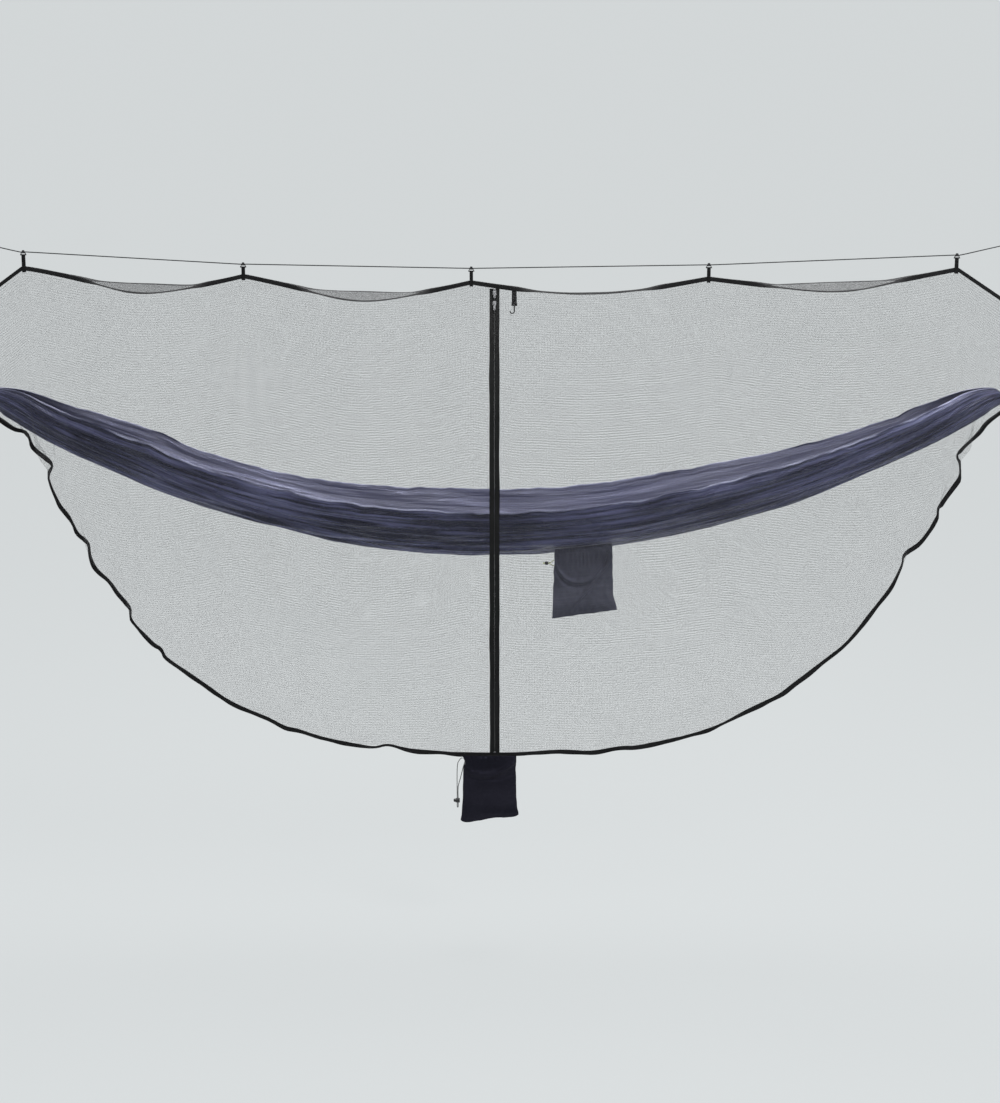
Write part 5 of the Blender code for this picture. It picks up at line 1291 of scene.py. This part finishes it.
# A tooth is a small block: its four root corners, then the four of its narrower tip.
TOOTH = (
    (0.0, -0.0006, 0.0), (0.0040, -0.0006, 0.0), (0.0040, 0.0006, 0.0), (0.0, 0.0006, 0.0),
    (0.0003, -0.0005, 0.0015), (0.0037, -0.0005, 0.0015), (0.0037, 0.0005, 0.0015),
    (0.0003, 0.0005, 0.0015),
)
TOOTH_FACES = ((0, 3, 2, 1), (4, 5, 6, 7), (0, 1, 5, 4), (1, 2, 6, 5), (2, 3, 7, 6), (3, 0, 4, 7))
for name, node, side in (
    ("zip_tape_near_left", "zip_tape_left", -1), ("zip_tape_near_right", "zip_tape_right", 1),
):
    def tape_point(i, j):
        distance = mix(0.0005, ZIP_RUN - 0.0005, j / TAPE_ROWS)
        point, _, out = zip_frame(distance)
        wave = 0.0016 * wander(distance * 9, side * 4.0, 0.0)
        calm = smooth_step(0.06, 0.12, distance)
        share = i / TAPE_COLUMNS
        away = mix(ZIP_SLIT / 2, ZIP_WIDTH / 2 + wave * calm, share)
        lift = 0.0012 * wander(distance * 12, side * 2.0, 7.0) * share * calm
        return point + AXIS_X * (side * away) + out * lift

    tape = grid_piece(name, TAPE_COLUMNS, TAPE_ROWS, tape_point, lambda i, j, u, v: (u, v))
    thicken(tape, 0.0010)
    fit(smooth(tape), zip_tape, "black_tape", node)
    teeth, faces = [], []
    for k in range(TEETH):
        distance = 0.006 + (k + 0.25 + side * 0.25) * (ZIP_RUN - 0.012) / TEETH
        point, up, out = zip_frame(distance)
        root = point - out * 0.0005
        for dx, dy, dz in TOOTH:
            teeth.append(root + AXIS_X * (side * (dx - 0.0007)) + up * dy - out * dz)
        faces += [[8 * k + corner for corner in face] for face in TOOTH_FACES]
    mesh = bpy.data.meshes.new(name + "_coil")
    mesh.from_pydata([tuple(p) for p in teeth], [], faces)
    coil = bpy.data.objects.new(name + "_coil", mesh)
    bpy.context.scene.collection.objects.link(coil)
    close_up(coil, 0.0000001, caps=False)
    dress(coil, coil_nylon, "black_tape", "net")

# %% [markdown]
# ## Hanger straps and the gear hook's strap
# Each moulded hanger holds a short webbing strap that goes over its bar and is sewn
# to both ridge bands. The gear hook hangs in the net from a folded strap of its own.

# %% Straps
RING_BOTTOM, RING_BAR, RING_DEPTH = 0.0097, 0.0018, 0.0046
WEBBING, WEBBING_CORNER = 0.0010, 0.0012
LAID_ON = GAP + WEBBING / 2


def strap_piece(name, path, side, width, node):
    """A folded strap: a flat section swept along a path with rounded corners."""
    rounded = [path[0]]
    for a, b, c in zip(path, path[1:], path[2:]):
        start, end = (
            b + (other - b).normalized() * min(WEBBING_CORNER, (other - b).length * 0.4)
            for other in (a, c)
        )
        rounded += [start, (start + end + 2 * b) / 4, end]
    rounded.append(path[-1])
    places = []
    for i, point in enumerate(rounded):
        places.append((point, side, run_at(rounded, i).cross(side).normalized()))
    strap = swept(name, places, tape_section(width, WEBBING, 0.0003), angle=35)
    fit(strap, strap_tape, "black_tape", node)


for i, (x, line_z) in enumerate(zip(HANGERS, LINE_HEIGHTS), start=1):
    band_z = ridge_point(x)[0]
    at_bands = PINCH_WIDTH / 2 + BAND_THICKNESS / 2 + LAID_ON
    at_bar = RING_DEPTH / 2 + LAID_ON
    bar_low, bar_top = line_z - RING_BOTTOM, line_z - RING_BOTTOM + RING_BAR
    half = [
        (at_bands, band_z - BAND_WIDTH / 2 - 0.004), (at_bands, band_z + BAND_WIDTH / 2 + 0.001),
        (at_bar, bar_low), (at_bar, bar_top), (at_bar - WEBBING / 2, bar_top + LAID_ON),
    ]
    path = [Vector((x, -y, z)) for y, z in half] + [Vector((x, y, z)) for y, z in reversed(half)]
    strap_piece(f"hanger_webbing_{i}", path, AXIS_X, 0.010, f"hanger_strap_{i}")

# %% The gear hook's strap
HOOK_X, HOOK_HALF, FOLD_GAP = 0.057, 0.0085, 0.0013
HOOK_SIDE = Vector((0.988841, -0.148973, 0.0))
HOOK_BAR = Vector((0.057527, -0.009548, -0.103050))
left, across_left = band_frame(HOOK_X - HOOK_HALF, -1)
right, across_right = band_frame(HOOK_X + HOOK_HALF, -1)
band_in = (across_left + across_right).cross(right - left).normalized()
seat = (left + right) / 2 + band_in * (BAND_THICKNESS / 2 + LAID_ON)
seat_up = band_in.cross(AXIS_Z).normalized().cross(band_in)
inward = AXIS_Z.cross(HOOK_SIDE)
fold = math.hypot(0.0034, 0.0026) / 2 + LAID_ON
start = seat - seat_up * (BAND_WIDTH / 2 + 0.001)
path = [seat + seat_up * (BAND_WIDTH / 4), start]
for angle in spaced(0.0, math.pi, 16):
    path.append(HOOK_BAR - (inward * math.cos(angle) + AXIS_Z * math.sin(angle)) * fold)
path.append(start + inward * (FOLD_GAP * 1.5) - AXIS_Z * BAND_WIDTH)
path.append(start + inward * FOLD_GAP)
strap_piece("gear_hook_webbing", path, HOOK_SIDE, 0.014, "gear_hook_strap")

# %% [markdown]
# ## The hammock
# One length of nylon hangs as a trough and is gathered to a bundle at each end. Its
# folds run lengthwise, because the cloth is pulled to the two ends: a few long ones,
# more short ones between them, and fine creases on top. They come from noise that is
# drawn out along the hammock, and they fade where a seam or the binding holds it.

# %% Shape of the hammock
HAMMOCK_WIDTH, HAMMOCK_DEPTH = 0.30, 0.142
HEM_CURL = math.radians(72)
FAR_HEM_RISE, HEM_DROP, FAR_HEM_DROP = 0.012, 0.015, 0.014
SEAM_SHARE, SEAM_X = 5 / 14, 0.263


def ridged(place):
    """Noise that makes a sharp crest wherever it crosses its middle."""
    return 1 - 2 * abs(noise.noise(place))


def hollow(value, centre, width):
    """1 at a fold's line, and 0 away from it."""
    return math.exp(-(((value - centre) / width) ** 2))


def trough(x):
    """How far out to its bundle the hammock is, and how wide it still is there."""
    spread = min(1.0, abs(x) / BUNDLE_START)
    return spread, mix(BUNDLE_RADIUS, HAMMOCK_WIDTH / 2, fullness(spread, (3, 0.75)))


def hammock_fold(x, share):
    """How far the cloth stands out of the smooth trough."""
    spread, half_width = trough(x)
    lean = share + 0.05 * math.sin(x * 2.1 + 0.6)
    long_folds = ridged(Vector((x * 0.9, lean * 7.0, 1.7)))
    mid_folds = ridged(Vector((x * 1.9 + lean, lean * 15.0, 5.1)))
    creases = ridged(Vector((x * 4.0, lean * 29.0, 8.3)))
    crumple = wander(x * 21.0, share * 23.0, 3.3)
    taut = 0.45 + 0.55 * smooth_step(0.25, -0.15, x)
    pull = smooth_step(0.15, 0.75, spread)
    lift = 0.0060 * (long_folds - 0.4) + taut * mix(0.0095, 0.0105, pull) * (mid_folds - 0.4)
    lift += taut * mix(0.0044, 0.0048, pull) * creases + 0.0014 * crumple * (1 - pull)
    rolled = 0.35 + 0.65 * smooth_step(-0.1, 0.4, x)
    lift += rolled * (0.009 * hollow(share, 0.055, 0.028) - 0.006 * hollow(share, 0.118, 0.030))
    lift *= min(1.0, half_width / 0.075)
    at_hems = smooth_step(0.0, 0.10, min(share, 1 - share))
    lift *= mix(0.35, 1.0, at_hems)
    at_seam = smooth_step(0.14, 0.10, abs(x - SEAM_X))
    lift *= 1 - math.exp(-(((share - SEAM_SHARE) / 0.05) ** 4)) * at_seam
    return lift * (1 - smooth_step(0.955, 0.975, spread))


def slackness(x):
    """How far the hems have dropped between the middle and the ends, 0 to 1."""
    if x < 0:
        drop = smooth_step(0.08, 0.72, -x) * (1 - 0.55 * smooth_step(0.90, 1.08, -x))
    else:
        drop = smooth_step(0.52, 1.12, x) * (1 - 0.45 * smooth_step(1.22, 1.32, x))
    return drop * (1 - smooth_step(0.86, 0.96, abs(x) / BUNDLE_START))


def hammock_point(x, share):
    """A point on the cloth, near hem (share 0) to far hem (share 1)."""
    base, _, up = hammock_base(x)
    spread, half_width = trough(x)
    curl = HEM_CURL * smooth_step(0.80, 1.0, spread)
    angle = mix(-curl, math.pi + curl, share)
    gathered = BUNDLE_RADIUS * (1 + math.sin(HEM_CURL))
    depth = mix(gathered, HAMMOCK_DEPTH, fullness(spread, (5, 0.5))) / (1 + math.sin(curl))
    depth -= HEM_DROP * slackness(x)
    out = hammock_fold(x, share)
    if 0 < share < 1:
        wave = 0.004 * math.sin(6 * math.pi * share + 1.2 * spread**2)
        out += wave * math.sin(math.pi * share) ** 0.5 * (1 - spread**4)
    rise = FAR_HEM_RISE * (1 - spread) - FAR_HEM_DROP * slackness(x)
    rise *= max(0.0, -math.cos(angle))
    ruffle = wander(x * 12, share * 2, 4.0) + 0.5 * wander(x * 31, share * 2, 8.0)
    ruffle *= smooth_step(0.10, 0.0, min(share, 1 - share)) * smooth_step(0.95, 0.85, spread)
    rise += 0.0052 * ruffle
    across = -(half_width + out) * math.cos(angle)
    height = depth - (depth + out) * math.sin(angle) + rise
    return base + up * height + AXIS_Y * across


# %% Build the hammock's cloth
STATIONS, ROUND = 270, 150
CLOTH_ROUND = 0.62
CLOTH_FLAT = (1.40, 3.15)
stations = [-HAMMOCK_END]
for t in spaced(-1.0, 1.0, STATIONS):
    stations.append(BUNDLE_START * mix(t, math.sin(math.pi * t / 2), 0.35))
stations.append(HAMMOCK_END)
hammock = grid_piece(
    "hammock_cloth", len(stations) - 1, ROUND,
    lambda i, j: hammock_point(stations[i], j / ROUND),
    lambda i, j, u, v: (u, CLOTH_ROUND * j / ROUND),
)
hammock_area = face_area(hammock)
thicken(hammock, 0.0010)
fit(smooth(hammock, 180), hammock_nylon, "navy_cloth", "hammock_body", "hammock")

# %% Hems of the hammock
HEM_SECTION = [(a * 1.35, b * 0.62) for a, b in round_section(0.0018, 10)]
hems = []
for name, share in (("near_hem", 0.0), ("far_hem", 1.0)):
    route = []
    for x in stations[2:-2]:
        edge = hammock_point(x, share)
        inner = hammock_point(x, abs(share - 1 / ROUND))
        route.append(edge + (edge - inner).normalized() * 0.0010)
    frames = []
    for i, (x, point) in enumerate(zip(stations[2:-2], route)):
        inner = hammock_point(x, abs(share - 2 / ROUND))
        flat = (hammock_point(x, share) - inner).normalized()
        run = run_at(route, i)
        flat = (flat - run * flat.dot(run)).normalized()
        frames.append((point - flat * 0.0012, flat, run.cross(flat)))
    hem = swept(name, frames, HEM_SECTION, angle=60)
    hems.append(fit(hem, hem_highlight_nylon, "navy_cloth", "hammock_" + name, "hammock"))
least_area = 0.3 * CLOTH_FLAT[0] * CLOTH_FLAT[1]
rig.sheet(
    hammock, flat=CLOTH_FLAT, held="gathered", area=max(hammock_area, least_area),
    rests_on=["left_whipping", "right_whipping"], with_pieces=hems,
)
print("hammock cloth area", round(hammock_area, 3), "m2")

# %% [markdown]
# ## Bindings, rope loops and carabiners
# Each gathered end is bound tightly with twine. A rope loop comes out of the bundle,
# passes the net's cuff and carries the carabiner.

# %% Twine bindings
WHIP_LENGTH, WHIP_IN, WHIP_OUT = 0.026, BUNDLE_RADIUS + 0.0006 + 2 * GAP, 0.0035
TWINE, TWINE_TURNS, CORE_SIDES = 0.00125, 10, 40
CORE_PROFILE = [
    (WHIP_IN, 0.0006), (WHIP_IN + 0.0016, 0.0006),
    (WHIP_IN + 0.0016, WHIP_LENGTH - 0.0006), (WHIP_IN, WHIP_LENGTH - 0.0006),
]
for name, side in (("left", -1), ("right", 1)):
    centre, out, up = end_frame(side)
    start = centre - out * ((BUNDLE_LENGTH + WHIP_LENGTH) / 2)

    def whip_point(away, radius, angle):
        return start + out * away + (AXIS_Y * math.cos(angle) + up * math.sin(angle)) * radius

    def core_point(i, j):
        radius, away = CORE_PROFILE[j % 4]
        return whip_point(away, radius, 2 * math.pi * i / CORE_SIDES)

    turns = []
    for t in spaced(0.0, 1.0, TWINE_TURNS * 26):
        away = mix(TWINE, WHIP_LENGTH - TWINE, t)
        turns.append(whip_point(away, WHIP_IN + WHIP_OUT - TWINE, 2 * math.pi * TWINE_TURNS * t))
    binding = cord_tube(name + "_twine_binding", turns, TWINE)
    core = grid_piece(name + "_twine_core", CORE_SIDES, 4, core_point)
    close_up(core, caps=False)
    fit(binding, binding_twine, "black_cord", name + "_whipping", "hammock")
    dress(smooth(core), binding_twine, "black_cord", "hammock")

# %% Rope loops
LEAD, DEPTH, TAPER, FLARE = 0.244, 0.010, 0.10, 0.024
ROPE = 0.006


def rope_half_width(distance):
    """Half the loop's width: wide in the bundle, closed in the cuff, wide at the clip."""
    near = BUNDLE_RADIUS - 0.0006 - ROPE / 2 - 3 * GAP
    together = (ROPE + 0.0006) / 2
    far = (0.0068 + ROPE) / 2 + GAP
    flare = smooth_step(LEAD - FLARE, LEAD, distance)
    return mix(mix(near, together, smooth_step(0.0, TAPER, distance)), far, flare)


places = spaced(-DEPTH, 0.0, 3)
for start, end, steps in ((0.0, TAPER, 14), (TAPER, LEAD - FLARE, 8), (LEAD - FLARE, LEAD, 8)):
    places += spaced(start, end, steps)[1:]
loop = [(d, rope_half_width(d)) for d in places]
far, near = rope_half_width(LEAD), rope_half_width(0.0)
for angle in spaced(math.pi / 2, -math.pi / 2, 16)[1:-1]:
    loop.append((LEAD + far * math.cos(angle), far * math.sin(angle)))
loop += [(d, -rope_half_width(d)) for d in reversed(places)]
for angle in spaced(-math.pi / 2, -3 * math.pi / 2, 16)[1:-1]:
    loop.append((-DEPTH + near * math.cos(angle), near * math.sin(angle)))
for name, side in (("left", -1), ("right", 1)):
    centre, out, up = end_frame(side)
    route = [centre + out * d + AXIS_Y * w for d, w in loop]
    rope = cord_tube(name + "_rope", route, ROPE / 2, 12, closed=True, first_side=up)
    fit(rope, rope_cord, "black_cord", name + "_rope_loop", "hammock")

# %% [markdown]
# ## The pouch and the stuff sack
# Both are flat bags with a drawcord channel. They start as a box cut into small
# faces, and each point then moves: the sides draw in to their seams, the channel
# gathers into pleats, and drape folds run as they do in the photograph.

# %% A box of small faces
CUTS = 110


def flat_box(name):
    """A cube whose front and back are cut into small faces."""
    deselect()
    bpy.ops.mesh.primitive_cube_add(size=2)
    item = bpy.context.object
    item.name = item.data.name = name
    mesh = item.data
    for axis in (0, 2):
        bpy.ops.object.mode_set(mode="EDIT")
        bpy.ops.mesh.select_all(action="DESELECT")
        bpy.ops.object.mode_set(mode="OBJECT")
        for edge in mesh.edges:
            a, b = (mesh.vertices[i].co for i in edge.vertices)
            edge.select = abs(a[axis] - b[axis]) > 1.9
        bpy.ops.object.mode_set(mode="EDIT")
        bpy.ops.mesh.select_mode(type="EDGE")
        bpy.ops.mesh.subdivide(number_cuts=CUTS)
        bpy.ops.object.mode_set(mode="OBJECT")
    return item


def width_at(shares, w):
    """The value at w in a table of evenly spaced shares of a bag's width."""
    place = w * (len(shares) - 1)
    step = min(int(place), len(shares) - 2)
    return mix(shares[step], shares[step + 1], place - step)


def bag_depth(u, side, depth, least, out):
    """How far the cloth stands from the bag's middle, with its folds."""
    depth = max(least, depth)
    out *= 1 - abs(u) ** 8
    return side * depth + (-out if side < 0 else out * 0.5)


def bag_piece(name, place):
    """A flat bag: place(u, w, side) gives each point, u across and w down."""
    item = flat_box(name)
    mesh = item.data
    layer = mesh.uv_layers[0]
    layer.name = "UVMap"
    spots = [(v.co.x, (1 - v.co.z) / 2, 1 if v.co.y > 0 else -1) for v in mesh.vertices]
    for vertex, spot in zip(mesh.vertices, spots):
        vertex.co = place(*spot)
    for loop in mesh.loops:
        u, w, side = spots[loop.vertex_index]
        layer.data[loop.index].uv = (u * 0.09 * side + 0.2 * side, w * 0.21)
    mesh.update()
    return smooth(item, 60)


# %% Pouch
POUCH_TOP = Vector((0.261789, -0.067504, -0.810969))
POUCH_RUN = Vector((0.994587, 0.0, 0.10391))
POUCH_WIDTH, POUCH_HEIGHT = 0.178, 0.212
POUCH_SHARES = (0.96, 0.97, 0.985, 1.0, 1.01, 1.03)


def pouch_fold(u, w):
    """Pleats under the channel, one deep drape, and slanting folds below it."""
    pleats = math.sin(u * 38 + 2.5 * math.sin(u * 5)) * (0.5 + 0.5 * smooth_step(-0.4, 0.5, u))
    fold = 0.0026 * pleats * smooth_step(0.055, 0.10, w) * (1 - smooth_step(0.14, 0.34, w))
    fold += 0.0012 * math.sin(u * 60 + 1) * (1 - smooth_step(0.03, 0.06, w))
    fold -= 0.0016 * hollow(w, 0.062, 0.012)
    drape = 0.08 + 0.42 * max(0.0, 1 - (abs(u + 0.10) / 0.95) ** 2.2) ** 0.75
    fold += 0.0060 * hollow(w, drape, 0.040) - 0.0050 * hollow(w, drape + 0.075, 0.045)
    slant = 0.28 + 0.62 * (0.85 - u) / 1.25
    slanted = 0.0048 * hollow(w, slant, 0.035) - 0.0036 * hollow(w, slant + 0.06, 0.04)
    fold += slanted * smooth_step(-0.5, 0.0, u)
    fold += 0.0040 * wander(u * 2.2, w * 4.0, 4.4)
    fold += 0.0016 * wander(u * 7.0, w * 11.0, 1.4)
    return fold


def pouch_point(u, w, side):
    half = POUCH_WIDTH * width_at(POUCH_SHARES, w) / 2
    half += 0.0016 * wander(w * 8, u * 2, 6.0) * smooth_step(0.0, 0.1, w)
    depth = mix(0.003, 0.009, math.sin(math.pi * min(1.0, w)) ** 0.6) / 2
    depth *= (1 - abs(u) ** 6) ** 0.5 * (1 - 0.55 * smooth_step(0.90, 1.0, w))
    y = bag_depth(u, side, depth, 0.0011, pouch_fold(u, w) * smooth_step(0.0, 0.03, w))
    y = max(y, -0.0110) if side < 0 else min(y, 0.0075)
    low = mix(0.988, 0.958, (u + 1) / 2) + 0.007 * wander(u * 4.1, 2.0, 7.0)
    height = POUCH_HEIGHT * mix(w, w * low, smooth_step(0.35, 1.0, w))
    drift = 0.010 * smooth_step(0.72, 1.0, w) * smooth_step(0.2, 1.0, u)
    return POUCH_TOP + POUCH_RUN * (u * half + drift) + AXIS_Y * y - AXIS_Z * height


fit(bag_piece("pouch_bag", pouch_point), pouch_nylon, "slate_cloth", "pouch", "pouch")

# %% Stuff sack
SACK_TOP = Vector((-0.016, 0.0, rim_low.z - 0.0052))
SACK_WIDTH, SACK_HEIGHT = 0.168, 0.200
SACK_SHARES = (0.975, 0.955, 0.965, 0.975, 1.0, 1.06)


def sack_fold(u, w):
    """A soft belly of spare cloth at the mouth, and long folds down to the corners."""
    fold = 0.0050 * hollow(w, 0.29 - 0.16 * (u + 0.15) ** 2, 0.050)
    fold -= 0.0042 * hollow(w, 0.38 - 0.10 * (u + 0.15) ** 2, 0.040)
    slant = 0.10 + 0.26 * (0.9 - u)
    fold += 0.0036 * hollow(w, slant, 0.035) * smooth_step(-0.1, 0.4, u)
    fold += 0.0016 * hollow(u, -0.55 + 0.25 * w, 0.10) * smooth_step(0.35, 0.6, w)
    fold += 0.0012 * math.sin(u * 30) * (1 - smooth_step(0.04, 0.10, w))
    fold += 0.0036 * wander(u * 1.8, w * 3.6, 9.4)
    fold += 0.0012 * wander(u * 7.0, w * 10.0, 2.9)
    return fold


def sack_point(u, w, side):
    half = SACK_WIDTH * width_at(SACK_SHARES, w) / 2
    half += 0.0014 * wander(w * 7, u * 2, 3.0) * smooth_step(0.0, 0.1, w)
    across = u * half + 0.0065 * hollow(w, 0.10, 0.055) * smooth_step(-0.5, -1.0, u)
    depth = mix(0.004, 0.016, math.sin(math.pi * w) ** 0.6) / 2
    depth *= (1 - abs(u) ** 6) ** 0.5 * (1 - 0.5 * smooth_step(0.92, 1.0, w))
    y = bag_depth(u, side, depth, 0.0013, sack_fold(u, w) * smooth_step(0.0, 0.04, w))
    low = mix(1.075, 0.985, smooth_step(-1.0, 0.4, u)) + 0.006 * wander(u * 3.0, 5.0, 1.0)
    round_corner = 0.05 * (abs(u) ** 10) * smooth_step(0.85, 1.0, w)
    height = SACK_HEIGHT * (mix(w, w * low, smooth_step(0.4, 1.0, w)) - round_corner)
    rim_rise = rim_at(rim_distance(SACK_TOP.x + across)).z - rim_low.z + 0.0004
    height -= rim_rise * smooth_step(0.12, 0.0, w)
    return SACK_TOP + AXIS_X * across + AXIS_Y * y - AXIS_Z * height


fit(bag_piece("stuff_sack_bag", sack_point), sack_nylon, "dark_cloth", "stuff_sack", "stuff_sack")

# %% [markdown]
# ## Hardware
# The moulded and metal parts keep their solid shapes. They only get their finish.

# %% Finish the solid parts
FINISHES = {
    black_plastic: ["pouch_toggle", "stuff_sack_cord_lock", "stuff_sack_lock_button"]
    + [f"hanger_ring_{i}" for i in range(1, 6)],
    grey_plastic: ["gear_hook"],
    slider_metal: ["upper_slider", "lower_slider", "upper_pull", "lower_pull"],
    stop_metal: ["zip_top_stop", "zip_bottom_stop"],
    steel_rod: [
        side + "_carabiner" + part for side in ("left", "right") for part in ("", "_gate", "_pin")
    ],
}
for material, names in FINISHES.items():
    for name in names:
        mesh = nodes[name].data
        mesh.materials.clear()
        mesh.materials.append(material)
        smooth(nodes[name], 35)
left_over = [name for name, item in nodes.items() if not item.hide_render]
print("solid parts that show:", sorted(left_over))

# %% Write the solid and the visual boxes and finish
boxes = {"cad": cad_box, "visual": [list(corner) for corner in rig.bounds()]}
with open("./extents.json", "w") as out_file:
    json.dump(boxes, out_file)
print("visual box:", boxes["visual"])
